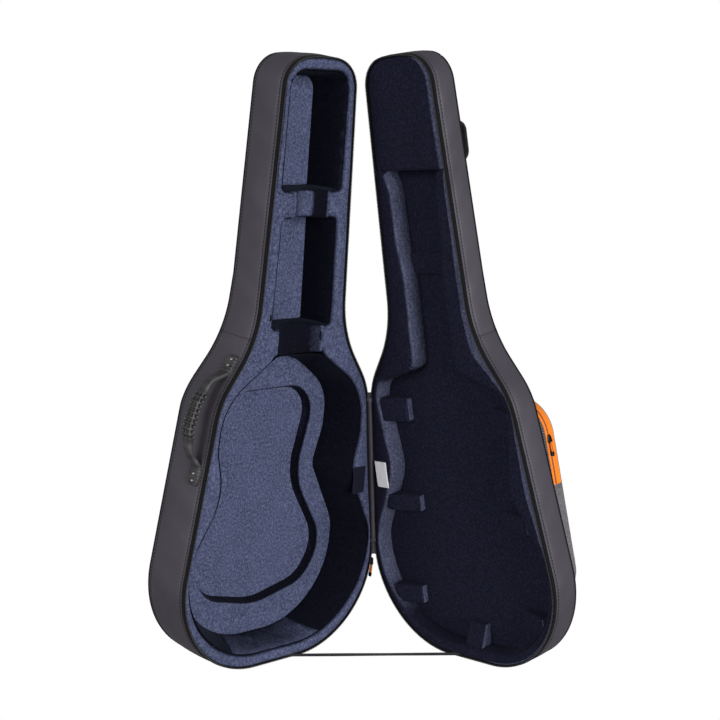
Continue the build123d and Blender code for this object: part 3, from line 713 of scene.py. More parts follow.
def runs(mask):
    """The stretches of a closed loop where the mask is true, each with one sample more, so
    that neighbouring stretches meet."""
    size = len(mask)
    if mask.all():
        return [np.arange(size + 1) % size]
    starts = np.flatnonzero(mask & ~np.roll(mask, 1))
    ends = np.flatnonzero(~mask & np.roll(mask, 1))
    lengths = [(ends - start) % size for start in starts]
    return [np.arange(start, start + gaps.min() + 1) % size for start, gaps in zip(starts, lengths)]


def swept(half, loop, section, mask=None, wave=0.0):
    """A closed section of (inset, depth) points carried along a whole loop, or along the
    stretches of it where the mask is true, with capped ends."""
    section, whole = np.array(section), mask is None
    parts = []
    for run in [slice(None)] if whole else runs(mask):
        inset = section[None, :, 0] + wave
        ring = surface(half, loop.points[run], loop.normals[run], inset, section[None, :, 1])
        parts.append(grid(ring, whole, True, not whole))
    return parts


def capsules(places, ahead, side, length, width, height):
    """Small bars with six sides and tapered ends, one at each place, lying along one direction
    and across another."""
    ring = [(-1, 0), (-0.5, -0.87), (0.5, -0.87), (1, 0), (0.5, 0.87), (-0.5, 0.87)]
    lift = np.cross(ahead, side)
    rows = []
    for along, size in ((-1, 0.45), (-0.7, 1), (0.7, 1), (1, 0.45)):
        middle = places + ahead * along * length / 2
        rows.append(np.stack([
            middle + (side * across * width + lift * rise * height) * size / 2
            for across, rise in ring
        ], 1))
    body = np.stack(rows, 1)
    index = np.arange(body.size // 3).reshape(body.shape[:3])
    after = np.roll(index, -1, 2)
    quads = np.stack([index[:, :-1], after[:, :-1], after[:, 1:], index[:, 1:]], -1)
    return body.reshape(-1, 3), [quads.reshape(-1, 4), index[:, 0, ::-1], index[:, 3]]


def along_loop(half, loop, pitch, inset, depth, keep=None):
    """Evenly spaced places along a loop in metres, with the way ahead and the way outward. The
    inset and the depth are numbers, or hold a value for each of the loop's points."""
    count = int(loop.length / pitch)
    away = np.arange(count) * loop.length / count
    points, normals = loop.at(away)
    inset, level = [
        np.interp(away, loop.along, np.broadcast_to(value, len(loop.along)))
        for value in (inset, depth)
    ]
    ahead = np.stack([-normals[:, 1], normals[:, 0]], 1)
    found = half.lay(points - normals * inset[:, None], level), half.aim(ahead), half.aim(normals)
    return found if keep is None else [values[keep(*points.T)] for values in found]


def down_seam(half, loop, away, lift, levels, length, size):
    """Stitches one under another on a wall: at one distance along a loop, at many depths."""
    spot, out = loop.at(np.full(len(levels), away))
    places = half.lay(spot + out * lift, levels)
    return capsules(places, half.axes[2], half.aim(out), length, size, size)


def stitch_line(half, first, second, level, size):
    """Stitches spread evenly on the straight line between two x, y points."""
    first, second = np.array(first, float), np.array(second, float)
    run = np.linalg.norm(second - first)
    count = max(3, int(run / 3.4))
    share = ((np.arange(count) + 0.5) / count)[:, None]
    ahead = half.aim((second - first) / run)
    places = half.lay(first + (second - first) * share, level)
    return capsules(places, ahead, np.cross(ahead, half.axes[2]), 2.4e-3, size, size)


def stitch_box(half, x, y, level, size, crossed=False):
    """Stitches round a rectangle, and along its diagonals where it is crossed."""
    corners = [(x[0], y[0]), (x[1], y[0]), (x[1], y[1]), (x[0], y[1])]
    lines = list(zip(corners, corners[1:] + corners[:1]))
    if crossed:
        lines += [(corners[0], corners[2]), (corners[3], corners[1])]
    return [stitch_line(half, *line, level, size) for line in lines]


def rows_across(loop, low, high, rows, columns, ease, bounds):
    """A grid inside a loop: shares from side to side that lie closer toward the sides, half
    widths, and y values that lie closer toward the ends. Both spacings follow a sine."""
    share = np.linspace(0, 1, rows)[:, None]
    y = low + (high - low) * (share - np.sin(share * math.tau) / math.tau * ease)
    u = np.sin(np.linspace(1, -1, columns) * math.pi / 2)[None]
    return u, loop.half_width(np.clip(y, bounds[0] + 0.01, bounds[1] - 0.01)), y


def pillow(half, loop, top, drop, roll, crown, low, high):
    """A cushion's top inside a loop between two y values. It is crowned in the middle and
    rolls down by drop near its edge, as a quarter circle over the roll width."""
    u, wide, y = rows_across(loop, low, high, 70, 41, 0.8, (loop.low, loop.high))
    x = u * wide
    ends = np.minimum(y - low, high - y)
    edge = np.clip(np.minimum(wide * (1 - np.abs(u)), ends) / roll, 0, 1)
    rise = np.sqrt(1 - (1 - edge) ** 2)
    full = np.sqrt(np.clip(1 - u**2, 0, 1)) * np.sqrt(np.clip(ends / 60, 0, 1))
    wander = ripple(y + x * 0.6, 47, 3) * ripple(x - y * 0.4, 61, 4)
    return half.place(x, y, top + drop * (1 - rise) - crown * full - wander * 0.35 * edge)


def floor_grid(half, loop, depth, crown, seed, rows=80, columns=45, low=None, high=None):
    """A well's floor: rows across the loop from side to side, crowned as a parabola across and a
    root toward its ends, and rippled."""
    first, last = loop.low if low is None else low, loop.high if high is None else high
    u, wide, y = rows_across(loop, first, last, rows, columns, 0.7, (first, last))
    x = u * wide
    full = (1 - u**2) * np.sqrt(np.clip(np.minimum(y - first, last - y) / 50, 0, 1))
    wander = ripple(y + x, 53, seed) * ripple(x - y * 0.5, 71, seed + 1)
    return grid(half.place(x, y, depth - crown * full - 0.5 * wander * full**0.3))


def lip_ring(half, inner, keys, crown, seed, tucks, sunk=0.0, puffed=None):
    """A soft lip from a loop out to the binding. It starts tucked in at the outer edge, swells to
    its crown, and rolls over the inner edge in a quarter circle of up to 8 mm. The tucks are y
    values beside which the roll is gathered into small pleats, sunk lowers it where another pad
    lies, and puffed swells the part past a y value, with a sewn groove at each of its corners
    and another along the straight sides before it."""
    far = paired(inner, Loop(OUTLINE, grow=-3.0), keys)
    points, normals = inner.points, inner.normals
    y = points[:, 1]
    width = np.linalg.norm(far - points, axis=1)
    roll = np.clip(width * 0.5, 2.0, 8.0)
    crest = points + normals * roll[:, None]
    fold = ripple(inner.along, 7.5, seed) * near(y, tucks, 24) * (np.abs(points[:, 0]) > 30)
    wide = np.clip(width / 22, 0.35, 1)
    lift = crown * wide * (1 + 0.22 * ripple(inner.along, 90, seed + 1)) + 0.9 * fold
    sewn = 0.0
    if puffed is not None:
        sewn = 1.3 * ramp(y, 606, 20) * ramp(y, puffed, -10)
        corners = [inner.nearest(x, puffed) for x in (62, -62)]
        lift = lift + 2.0 * ramp(y, puffed, 9) - 2.6 * near(inner.along, corners, 2.6)
    rows = []
    for s in (1, 0.97, 0.92, 0.84, 0.74, 0.69, 0.66, 0.63, 0.58, 0.5, 0.36, 0.2, 0.08):
        shoulder = math.sqrt(max(0.0, 1 - ((s - 0.15) / 0.85) ** 2)) if s > 0.15 else 1.0
        wander = 0.2 * ripple(inner.along + 14 * s, 26, seed + 2) * shoulder
        dent = sewn * np.exp(-((s - 0.66) * width / 1.4) ** 2)
        rows.append((crest * (1 - s) + far * s, 2.6 - (2.6 + lift) * shoulder - wander + dent))
    for angle in np.radians([8, 24, 40, 56, 72, 88]):
        reach = roll * (1 - math.sin(angle)) - 1.1 * fold * math.sin(angle)
        depth = (roll + lift) * (1 - math.cos(angle)) - lift
        rows.append((points + normals * reach[:, None], depth))
    rows.append((points + normals * (0.3 - 0.4 * fold)[:, None], roll + 2.5))
    rows.append((points + normals * 1.4, roll + 5.5))
    return np.stack([half.lay(spot, depth + sunk) for spot, depth in rows], 1)


def trough_depth(x, radius, rise):
    """How far a round-bottomed channel lies below the rim at x; 0 outside it."""
    return np.clip(np.sqrt(np.clip(radius**2 - x**2, 0, None)) - rise, 0, None)


def channel(reach, circle, start, end, lean, seed):
    """A padded block's channel in the base: rows run along the case and roll down at both ends
    as quarter circles of 6 mm, and columns run across it at the channel's depth, with a fall
    beyond its reach. Also returns each point's share of the channel's depth."""
    x = np.linspace(reach + 8, -reach - 8, 57)
    trough = trough_depth(x, *circle)
    dip = trough + 0.42 * np.clip(np.abs(x) - reach + 1, 0, None)
    turns = np.radians([100, 75, 50, 25, 0])
    rows = [
        (start - lean * dip / 70 + 6 * (1 - math.sin(a)), dip + 6 * (1 - math.cos(a)))
        for a in turns
    ]
    rows += [
        (start + 6 + (end - start - 12) * share, dip - 0.8 * math.sin(share * math.pi))
        for share in np.linspace(0.15, 0.85, 9)
    ]
    rows += [(end - 6 * (1 - math.sin(a)), dip + 6 * (1 - math.cos(a))) for a in turns[::-1]]
    spots = np.stack([
        BASE.place(x, y, depth + 0.35 * ripple(x + 9 * k, 19, seed))
        for k, (y, depth) in enumerate(rows)
    ])
    return spots, np.tile(trough / trough.max(), (len(rows), 1))


def everywhere(x, y):
    """True at every point."""
    return np.full(len(x), True)


def cavity_walls(half, loops, depth, start, puff, seed, seams=(), groups=None, columns=14):
    """A well's padded walls: rows follow the well's loop, and columns go down from the start
    depth, from the top loop toward the bottom one. They swell by puff into the well, dip where
    two pads meet, and carry slow ripples. Returns a part for each group, and the lower loop."""
    upper = Loop(loops[0])
    lower = Loop(loops[1], counts=upper.counts)
    along = upper.along[:, None]
    first = start(*upper.points.T)[:, None]
    t = np.linspace(0, 1, columns)[None]
    level = first + t * (depth - first)
    share = (level / depth)[..., None]
    spots = upper.points[:, None] * (1 - share) + lower.points[:, None] * share
    dent = near(along, [upper.nearest(*seam) for seam in seams], 7) if seams else 0 * along
    swell = np.sin(np.pi * t) ** 0.6 * (puff * (1 - dent) - 1.2 * dent)
    tug = ripple(along + 18 * t, 38, seed) * ripple(along * 0.4 - 60 * t, 55, seed + 1)
    swell = swell + tug * 0.9 * np.sin(np.pi * t)
    places = half.lay(spots - upper.normals[:, None] * swell[..., None], level)
    groups = groups or {"walls": everywhere}
    found = {
        name: [grid(places[run]) for run in runs(mask(*upper.points.T))]
        for name, mask in groups.items()
    }
    return found, lower


def beyond_zip(x, y):
    """True along the straight side where the case folds and has no zip."""
    return (x > 100) & (y > ZIP_BREAK[0]) & (y < ZIP_BREAK[1])


def zipped(x, y):
    """True where the zip runs: everywhere but along the fold."""
    return ~beyond_zip(x, y)


# What a user would change


def span(name, description, size, low, high):
    """A size whose values are given here in millimetres."""
    return bpy.props.FloatProperty(
        name=name, description=description, default=size * MM, min=low * MM, max=high * MM,
        subtype="DISTANCE", precision=4,
    )


def tint(name, description, r, g, b):
    """A colour from its linear red, green and blue."""
    return bpy.props.FloatVectorProperty(
        name=name, description=description, default=rgb(r, g, b), min=0, max=1, size=4,
        subtype="COLOR",
    )


def strength(name, description, value):
    """A light's strength."""
    return bpy.props.FloatProperty(
        name=name, description=description, default=value, min=0, max=20
    )


class GuitarCaseSizes(bpy.types.PropertyGroup):
    wall_bulge: span("Wall bulge", "How far the foam walls swell", 1.9, 0, 3)
    lip_crown: span("Lip crown", "How high the plush lips swell", 2.2, 0.2, 3)
    pad_puff: span("Pad puff", "How far the inner pads swell into the wells", 2.6, 0, 5)
    tooth_pitch: span("Tooth pitch", "The distance between zip teeth", 2.4, 1.5, 6)
    stitch_pitch: span("Stitch pitch", "The distance between stitches", 6.2, 3, 12)
    key_strength: strength("Key light", "The strength of the lamp above the case", 3.7)
    fill_strength: strength("Fill light", "The strength of the even light all round", 0.2)


class GuitarCaseColors(bpy.types.PropertyGroup):
    skin_dark: tint("Skin, dark", "Leatherette's darker patches", 0.039, 0.034, 0.046)
    skin_light: tint("Skin, light", "Leatherette's lighter patches", 0.050, 0.044, 0.058)
    # Painted shade: the near-black colour that the base's plush gets on faces turned away from up,
    # standing in for shade.
    base_shade: tint("Base plush, shade", "Pile that faces sideways", 0.0022, 0.0024, 0.0055)
    base_dark: tint("Base plush, dark", "Pile brushed away", 0.025, 0.030, 0.062)
    base_pile: tint("Base plush", "Pile that faces up", 0.046, 0.054, 0.110)
    base_tips: tint("Base plush, tips", "The bright fibre tips", 0.15, 0.17, 0.27)
    # Painted shade: the lid's plush colour on faces turned away from up, used the same way.
    lid_shade: tint("Lid plush, shade", "Pile that faces sideways", 0.007, 0.0065, 0.016)
    lid_dark: tint("Lid plush, dark", "Pile brushed away", 0.030, 0.034, 0.066)
    lid_pile: tint("Lid plush", "Pile that faces up", 0.060, 0.067, 0.122)
    lid_tips: tint("Lid plush, tips", "The bright fibre tips", 0.17, 0.18, 0.27)
    pocket_dark: tint("Pocket, dark", "The heather's dark threads", 0.055, 0.052, 0.058)
    pocket_light: tint("Pocket, light", "The heather's light threads", 0.17, 0.16, 0.175)
    zip_dark: tint("Zip tape, dark", "The pocket zip's tape in shade", 0.74, 0.16, 0.012)
    zip_light: tint("Zip tape, light", "The pocket zip's raised threads", 0.95, 0.30, 0.03)


def sizes_of(context):
    """The case's sizes in millimetres, by name, with its lights."""
    group = context.scene.case_sizes
    return {name: getattr(group, name) / (1 if "strength" in name else MM) for name in SIZE_NAMES}


SIZE_NAMES = tuple(GuitarCaseSizes.__annotations__)


class CasePiece:
    """What every piece's operator shares."""

    bl_options = {"REGISTER", "UNDO"}


class CASE_OT_skins(CasePiece, bpy.types.Operator):
    """Leatherette walls: the outline swept from the binding to the piping. They swell as the
    0.8 power of half a sine of the depth, wander slowly along the case, and dip at the side
    seam between body and neck. The hinge side stays flat under the spine."""

    bl_idname = "case.skins"
    bl_label = "Outer walls"

    def execute(self, context):
        sizes = sizes_of(context)
        pitch = sizes["stitch_pitch"]
        loop = Loop(OUTLINE)
        x, y, along = loop.points[:, :1], loop.points[:, 1:], loop.along[:, None]
        t = np.concatenate([[0, 0.02, 0.045, 0.06, 0.075, 0.1], np.linspace(0.14, 1, 17)])[None]
        arch = np.sin(np.pi * t)
        flat = ramp(x, 120, 30) * ramp(y, 130, 40) * ramp(y, 520, -40)
        for half, seed, share, stitched in ((BASE, 11, 1, 2), (LID, 21, 0.6, 1)):
            depth = WALL_TOP + t * (half.back(y) - WALL_FOOT - WALL_TOP)
            bulge = sizes["wall_bulge"] * share
            swell = bulge * arch**0.8 * (0.8 + 0.25 * ripple(along, 170, seed))
            swell = swell + 0.45 * arch * ripple(along + 30 * t, 85, seed + 1)
            swell = swell * (1 - flat) - 1.1 * near(y, [BAND_SEAM], 4.5)
            inset = 0.8 * (1 - arch**0.35) - swell + 0.5 * near(depth, [WALL_STITCHES], 2.6)
            places = surface(half, loop.points, loop.normals, inset, depth)
            on_body = loop.points[:, 1] < BAND_SEAM
            for part, mask, foam in (
                ("body", on_body, [f"{half.body}_wall_foam"]), ("neck", ~on_body, []),
            ):
                parts = [grid(places[run]) for run in runs(mask)]
                nodes = [f"{half.body}_{part}_band"] + foam
                dress(f"{half.body}_{part}_skin", parts, half, "leatherette", nodes, inward=False)
            rows = []
            for level in [WALL_STITCHES + 0 * y[:, 0], half.back(y[:, 0]) - 8.5][:stitched]:
                wall = at_level(level, depth, inset) - 0.15
                spots, ahead, out = along_loop(half, loop, pitch, wall, level)
                rows.append(capsules(spots, ahead, out, 4.6e-3, 1.1e-3, 1.2e-3))
            emit(f"{half.body}_wall_stitches", rows, half.body, "thread", "leatherette")
            for side, sign in (("hinge", 1), ("free", -1)):
                levels = np.arange(12, half.back(BAND_SEAM) - 8, pitch)
                away = loop.nearest(sign * 96.5, 588.5)
                bars = down_seam(half, loop, away, 0.9, levels, 4.2e-3, 0.8e-3)
                name = f"{half.body}_seam_stitches_{side}"
                emit(name, [bars], half.body, "thread", "leatherette")
        return {"FINISHED"}


class CASE_OT_trim(CasePiece, bpy.types.Operator):
    """Piping and binding: a round cord of 2 mm radius along the ramped back edge, and a rounded
    folded tape, closed as a loop, over the rim."""

    bl_idname = "case.trim"
    bl_label = "Piping and binding"

    def execute(self, context):
        loop = Loop(OUTLINE)
        spots = loop.points - loop.normals * 1.8
        section = [
            (1.2, 6.6), (0.2, 6.5), (-0.45, 5.8), (-0.6, 4.2), (-0.55, 2.2), (-0.2, 0.7),
            (0.6, 0.05), (1.6, -0.1), (2.6, 0.1), (3.2, 0.9), (3.4, 3.0), (3.0, 6.0),
        ]
        wave = 0.12 * ripple(loop.along[:, None], 31, 5)
        for half in (BASE, LID):
            path = half.lay(spots, half.back(spots[:, 1]) - PIPING_RADIUS)
            cord = [tube(path, PIPING_RADIUS * MM, 12)]
            nodes = [f"{half.body}_piping"]
            emit(f"{half.body}_edge_piping", cord, half.body, "black_trim", nodes=nodes)
            tape = swept(half, loop, section, wave=wave)
            dress(f"{half.body}_rim_tape", tape, half, "black_trim", [f"{half.body}_rim_binding"])
        return {"FINISHED"}


class CASE_OT_zips(CasePiece, bpy.types.Operator):
    """The zip: on each half a tape that stands on the rim, closed at its ends, and a row of
    coil teeth at an even pitch along it. Both stop at the fold."""

    bl_idname = "case.zips"
    bl_label = "Main zip"

    def execute(self, context):
        loop = Loop(OUTLINE)
        pitch = sizes_of(context)["tooth_pitch"]
        section = [(1.0, 1.0), (0.95, -1.2), (1.2, -2.6), (1.8, -2.6), (2.05, -1.2), (2.0, 1.0)]
        for half in (BASE, LID):
            tapes = swept(half, loop, section, zipped(*loop.points.T))
            dress(f"{half.body}_zip_tape", tapes, half, "black_trim", [f"{half.body}_zip"])
            spots, ahead, out = along_loop(half, loop, pitch, 1.5, -2.75, zipped)
            teeth = capsules(spots, out, ahead, 2.5e-3, 1.5e-3, 1.7e-3)
            emit(f"{half.body}_zip_teeth", [teeth], half.body, "zip_coil")
        return {"FINISHED"}


def fold_web(low, high):
    """The tape that joins the two rims beyond an end of the fold: two sheets, each a curve of
    the second degree from rim to rim, bent half way toward the hinge line."""
    y = np.linspace(low, high, 12)
    x = Loop(OUTLINE).half_width(y)
    share = np.linspace(0, 1, 9)[:, None, None]
    sheets = []
    for inset in (1.2, 2.0):
        start, end = BASE.place(x - inset, y, 0.5), LID.place(x - inset, y, 0.5)
        away = (start / MM - HINGE) @ HINGE_ALONG
        corner = (HINGE + HINGE_ALONG * away[:, None]) * MM
        middle = corner * 0.5 + (start + end) * 0.25
        sheets.append(
            start * (1 - share) ** 2 + 2 * middle * share * (1 - share) + end * share**2
        )
    return grid(np.concatenate([sheets[0], sheets[1][::-1]]), True)


class CASE_OT_spine(CasePiece, bpy.types.Operator):
    """The fold: a leaf of leatherette that runs up the base's wall, turns a 3 mm bend beside the
    hinge line and lies along the lid's wall. It has two stitch rows."""

    bl_idname = "case.spine"
    bl_label = "Fabric spine"

    def execute(self, context):
        pitch = sizes_of(context)["stitch_pitch"]
        turns = np.radians(np.linspace(12, 78, 6))
        centre = np.array(
            [(-0.2, -27.1)] + [(-0.2, z) for z in np.linspace(-24, -3, 8)]
            + [(2.8 - 3 * math.cos(a), -2.8 + 3 * math.sin(a)) for a in turns]
            + [(n, 0.2) for n in np.linspace(3, 24, 8)] + [(27.1, 0.2)]
        )
        way = unit(np.gradient(centre, axis=0))
        side = np.stack([-way[:, 1], way[:, 0]], 1)
        lengths = np.linspace(151, 430, 60)[:, None]
        ripples = 0.25 * ripple(lengths, 43, 31) * np.sin(np.linspace(0, np.pi, len(centre)))
        faces = []
        for offset in (0.62, -0.62):
            spots = centre + side * (offset + ripples)[..., None]
            row = HINGE + HINGE_ALONG * lengths[..., None] + spots @ [HINGE_OUT, UP]
            faces.append(row * MM)
        leaf = grid(np.concatenate([faces[0], faces[1][:, ::-1]], 1), False, True, True)
        parts = [turned(leaf)]
        steps = np.arange(154, 428, pitch)[:, None]
        for n, z, sideways in ((0.5, -22.5, HINGE_OUT), (22.5, -0.5, UP)):
            spots = (HINGE + HINGE_ALONG * steps + HINGE_OUT * n + UP * z) * MM
            parts.append(capsules(spots, HINGE_ALONG, sideways, 4.2e-3, 0.7e-3, 0.8e-3))
        parts += [fold_web(162, 191), fold_web(457, 474)]
        nodes = ["spine_base_leaf", "spine_lid_leaf"]
        spine = emit("spine_leaf", parts, None, "leatherette", nodes=nodes)
        first = (HINGE - UP * RIM_GAP / 2) * MM
        last = (HINGE + HINGE_OUT * RIM_GAP / 2) * MM
        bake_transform(spine)
        return {"FINISHED"}


def below_channel(x, circle):
    """How far a well's wall starts below the lip where a channel crosses it."""
    return trough_depth(x, *circle) + 2.5


def body_start(x, y):
    """Where the body well's walls begin: under the lip, and under the heel's channel."""
    return WALL_START + np.where((y > 548) & (np.abs(x) < 50), below_channel(x, HEEL), 0)


def neck_start(x, y):
    """The same for the neck well, whose ends are cut by the heel's and the saddle's channels."""
    heel = np.where(y < WELL_LOW + 1, below_channel(x, HEEL), 0)
    saddle = np.where(y > WELL_HIGH - 1, below_channel(x, SADDLE), 0)
    return WALL_START + heel + saddle


def head_start(x, y):
    """The same for the head well, which begins at the saddle."""
    return WALL_START + np.where(y < HEAD_LOW + 1, below_channel(x, SADDLE), 0)


def lid_start(x, y):
    """The same for the lid, which no channel crosses."""
    return WALL_START + 0 * x


class CASE_OT_base_lip(CasePiece, bpy.types.Operator):
    """The base's plush lip: a ring between the wells' edges and the binding, matched by length
    between key points, crowned as a quarter circle and rolled over its inner edge. It is
    gathered into small pleats beside the tight corners, and puffed at the head."""

    bl_idname = "case.base_lip"
    bl_label = "Base lip"

    def execute(self, context):
        crown = sizes_of(context)["lip_crown"]
        inner = Loop(BASE_INNER, 2.5)
        ring = lip_ring(BASE, inner, BASE_KEYS, crown, 41, [600, 1016], puffed=1016)
        cushion("base_lip", [grid(ring, True)], BASE, ["base_lip_pad"])
        return {"FINISHED"}


def in_tail(x, y):
    """True along the well's wall at the tail, where it has a pad of its own."""
    return (y < 75) & (np.abs(x) < 100)


class CASE_OT_body_well(CasePiece, bpy.types.Operator):
    """The body well: leaning padded walls lofted between the lip's and the shelf's outlines, in
    a tail pad and two side pads that dip where they meet; a shelf whose edge is a raised welt
    that rolls into the recess; and the recess floor."""

    bl_idname = "case.body_well"
    bl_label = "Body well"

    def execute(self, context):
        groups = {
            "tail": in_tail,
            "hinge": lambda x, y: ~in_tail(x, y) & (x >= 0),
            "free": lambda x, y: ~in_tail(x, y) & (x < 0),
        }
        nodes = {"tail": "tail_pad", "hinge": "wall_pad_hinge", "free": "wall_pad_free"}
        # Painted shade for each pad through the shade attribute: the hinge pad painted darker, the
        # tail pad lighter as a painted highlight, and the free pad left as it is.
        painted_shades = {"tail": -0.5, "hinge": 0.3, "free": 0.0}
        seams = [(100, 35), (-100, 35), (50, 556), (-50, 556)]
        puff = sizes_of(context)["pad_puff"]
        walls = cavity_walls(BASE, (BASE_LIP, SHELF), 71.0, body_start, puff, 51, seams, groups)
        for side, parts in walls[0].items():
            node = [f"base_{nodes[side]}"]
            pad = cushion(f"base_{side}_cushion", parts, BASE, node)
            set_attribute(pad, "shade", np.full(len(pad.data.vertices), painted_shades[side]))
        edge = Loop(RECESS, 3.0)
        far = paired(edge, Loop(SHELF, grow=1.0), SHELF_KEYS)
        crest = edge.points + edge.normals * SHELF_ROLL
        rows = []
        for s in (1.0, 0.9, 0.75, 0.6, 0.45, 0.3, 0.18, 0.08, 0.0):
            spot = crest * (1 - s) + far * s
            gap = np.linalg.norm(spot - crest, axis=1)
            welt = 2.4 * np.exp(-((gap - 1.0) / 4.5) ** 2)
            wander = ripple(edge.along + 20 * s, 44, 53) * math.sin(math.pi * min(s * 1.3, 1))
            rows.append((spot, SHELF_LEVEL - welt - 0.35 * wander))
        for angle in np.radians([20, 42, 65, 88]):
            spot = edge.points + edge.normals * SHELF_ROLL * (1 - math.sin(angle))
            fall = SHELF_ROLL * (1 - math.cos(angle)) - 2.3 * math.cos(angle)
            rows.append((spot, SHELF_LEVEL + fall))
        for s in (0.3, 0.65, 1.0):
            spot = edge.points - edge.normals * 5.0 * s
            rows.append((spot, SHELF_LEVEL + SHELF_ROLL + 11.9 * s))
        ring = np.stack([BASE.lay(spot, depth) for spot, depth in rows], 1)
        cushion("base_shelf", [grid(ring, True)], BASE, ["base_shelf_pad"])
        floor = floor_grid(BASE, Loop(RECESS, 3.0, grow=-4.6), RECESS_LEVEL, 1.2, 55)
        nodes = ["base_recess_floor", "base_floor_foam"]
        cushion("base_recess_cushion", [floor], BASE, nodes)
        return {"FINISHED"}


class CASE_OT_neck_wells(CasePiece, bpy.types.Operator):
    """The heel block's and the neck saddle's channels, and the neck and head wells: channels are
    circle sections rolled at both ends, and wells are lofted walls over a crowned floor. The
    head well's far wall is the head roll, with a seam at each corner."""

    bl_idname = "case.neck_wells"
    bl_label = "Neck and head wells"

    def execute(self, context):
        puff = sizes_of(context)["pad_puff"]
        # Painted shade in the channels: each trough is painted darker toward its bottom, strongly
        # in the heel and lightly in the saddle, and the saddle gets a painted dark band on its
        # hinge side.
        for name, node, trough_shade, hinge_side_shade, values in (
            ("base_heel", "base_heel_block", 1.0, 0.0, (49.6, HEEL, 557, 605, 15, 61)),
            ("base_saddle", "base_neck_saddle", 0.12, 0.5, (38.6, SADDLE, 790, 837, 0, 62)),
        ):
            spots, share = channel(*values)
            piece = cushion(name, [grid(spots)], BASE, [node])
            x = spots[..., 0]
            # Painted shade: darker where the trough is deep, halved toward the hinge side from 8 mm
            # over 30 mm, plus a painted dark band about 26 mm toward the hinge side.
            shade = np.clip(share * 1.5 - 0.25, 0, 1) * (1 - 0.5 * ramp(x, 0.008, 0.03))
            side = np.clip(near(x, [0.026], 0.014) * 1.8, 0, 1)
            set_attribute(piece, "shade", trough_shade * shade + hinge_side_shade * side)
        sewn = [(66, 606), (-66, 606)]
        found, low = cavity_walls(BASE, WELL, WELL_LEVEL, neck_start, puff * 0.7, 63, sewn)
        floor = floor_grid(BASE, low, WELL_LEVEL, 1.5, 64, 50, 31, WELL_LOW, WELL_HIGH)
        cushion("base_well", found["walls"] + [floor], BASE, ["base_well_pad"])
        groups = {
            "walls": lambda x, y: y <= ROLL_START,
            "roll": lambda x, y: y > ROLL_START,
        }
        sewn = [(58, 1021), (-58, 1021)]
        found, low = cavity_walls(
            BASE, HEAD_WELL, HEAD_LEVEL, head_start, puff * 0.8, 65, sewn, groups
        )
        floor = floor_grid(BASE, low, HEAD_LEVEL, 1.5, 66, 50, 31, HEAD_LOW, low.high)
        cushion("base_head_well", found["walls"] + [floor], BASE, ["base_head_pad"])
        cushion("base_head_roll_cushion", found["roll"], BASE, ["base_head_roll"])
        return {"FINISHED"}


class CASE_OT_lid_lining(CasePiece, bpy.types.Operator):
    """The lid's lining: a plush lip like the base's, straight recess walls under it, a recess
    floor, a head cushion level with the rim, and the low rib across the neck channel. A painted
    highlight, set through the shade attribute, lightens the pile along the free side's edges of the
    lip and the head cushion."""

    bl_idname = "case.lid_lining"
    bl_label = "Lid lining"

    def execute(self, context):
        painted_highlight = -0.62
        inner = Loop(LID_INNER, 2.5)
        crown = sizes_of(context)["lip_crown"]
        under_pad = 2.6 * ramp(inner.points[:, 1], 862, 8)
        ring = lip_ring(LID, inner, LID_KEYS, crown, 71, [526], under_pad)
        pad = cushion("lid_lip", [grid(ring, True)], LID, ["lid_lip_pad"])
        # Painted highlight on the lip's outer columns along the free side.
        shade = np.zeros(ring.shape[:2])
        shade[:, :5] = painted_highlight * ramp(inner.points[:, :1], -20, -30)
        set_attribute(pad, "shade", shade)
        found, _ = cavity_walls(
            LID, (LID_RECESS, LID_RECESS), LID_LEVEL + 0.1, lid_start, 1.2, 73, columns=9
        )
        cushion("lid_wall_cushion", found["walls"], LID, ["lid_wall_pad"])
        floor = floor_grid(LID, Loop(LID_RECESS, 3.0), LID_LEVEL, 1.4, 75, 160, 51, 24.2, 867.8)
        nodes = ["lid_recess_floor", "lid_wall_foam", "lid_floor_foam"]
        cushion("lid_floor_cushion", [floor], LID, nodes)
        top = pillow(LID, Loop(LID_HEAD, 2.5), -1.0, 4.5, 6, 1.2, 867.2, 1055.4)
        pad = cushion("lid_head_cushion", [grid(top)], LID, ["lid_head_pad"])
        # Painted highlight along the head cushion's free edge.
        share = np.sin(np.linspace(-1, 1, top.shape[1]) * math.pi / 2)
        shade = np.tile(painted_highlight * ramp(share, 0.84, 0.06), top.shape[0])
        set_attribute(pad, "shade", shade)
        puff = lambda a, b, c: 0.8 * np.sin(np.pi * b) * c
        rib = soft_block(
            block_on(LID, (-47, 47), (687.5, 725.5), (20.8, 31), puff), (0.1, 0.42, 0.75)
        )
        cushion("lid_rib", rib, LID, ["lid_neck_rib"], inward=False)
        return {"FINISHED"}


# Each bumper's inner and outer x on its slope, and its y values.
BUMPERS = {
    "upper": (99, 150, 420, 464), "waist": (99, 158, 253, 284), "lower": (123, 178, 74, 109),
}


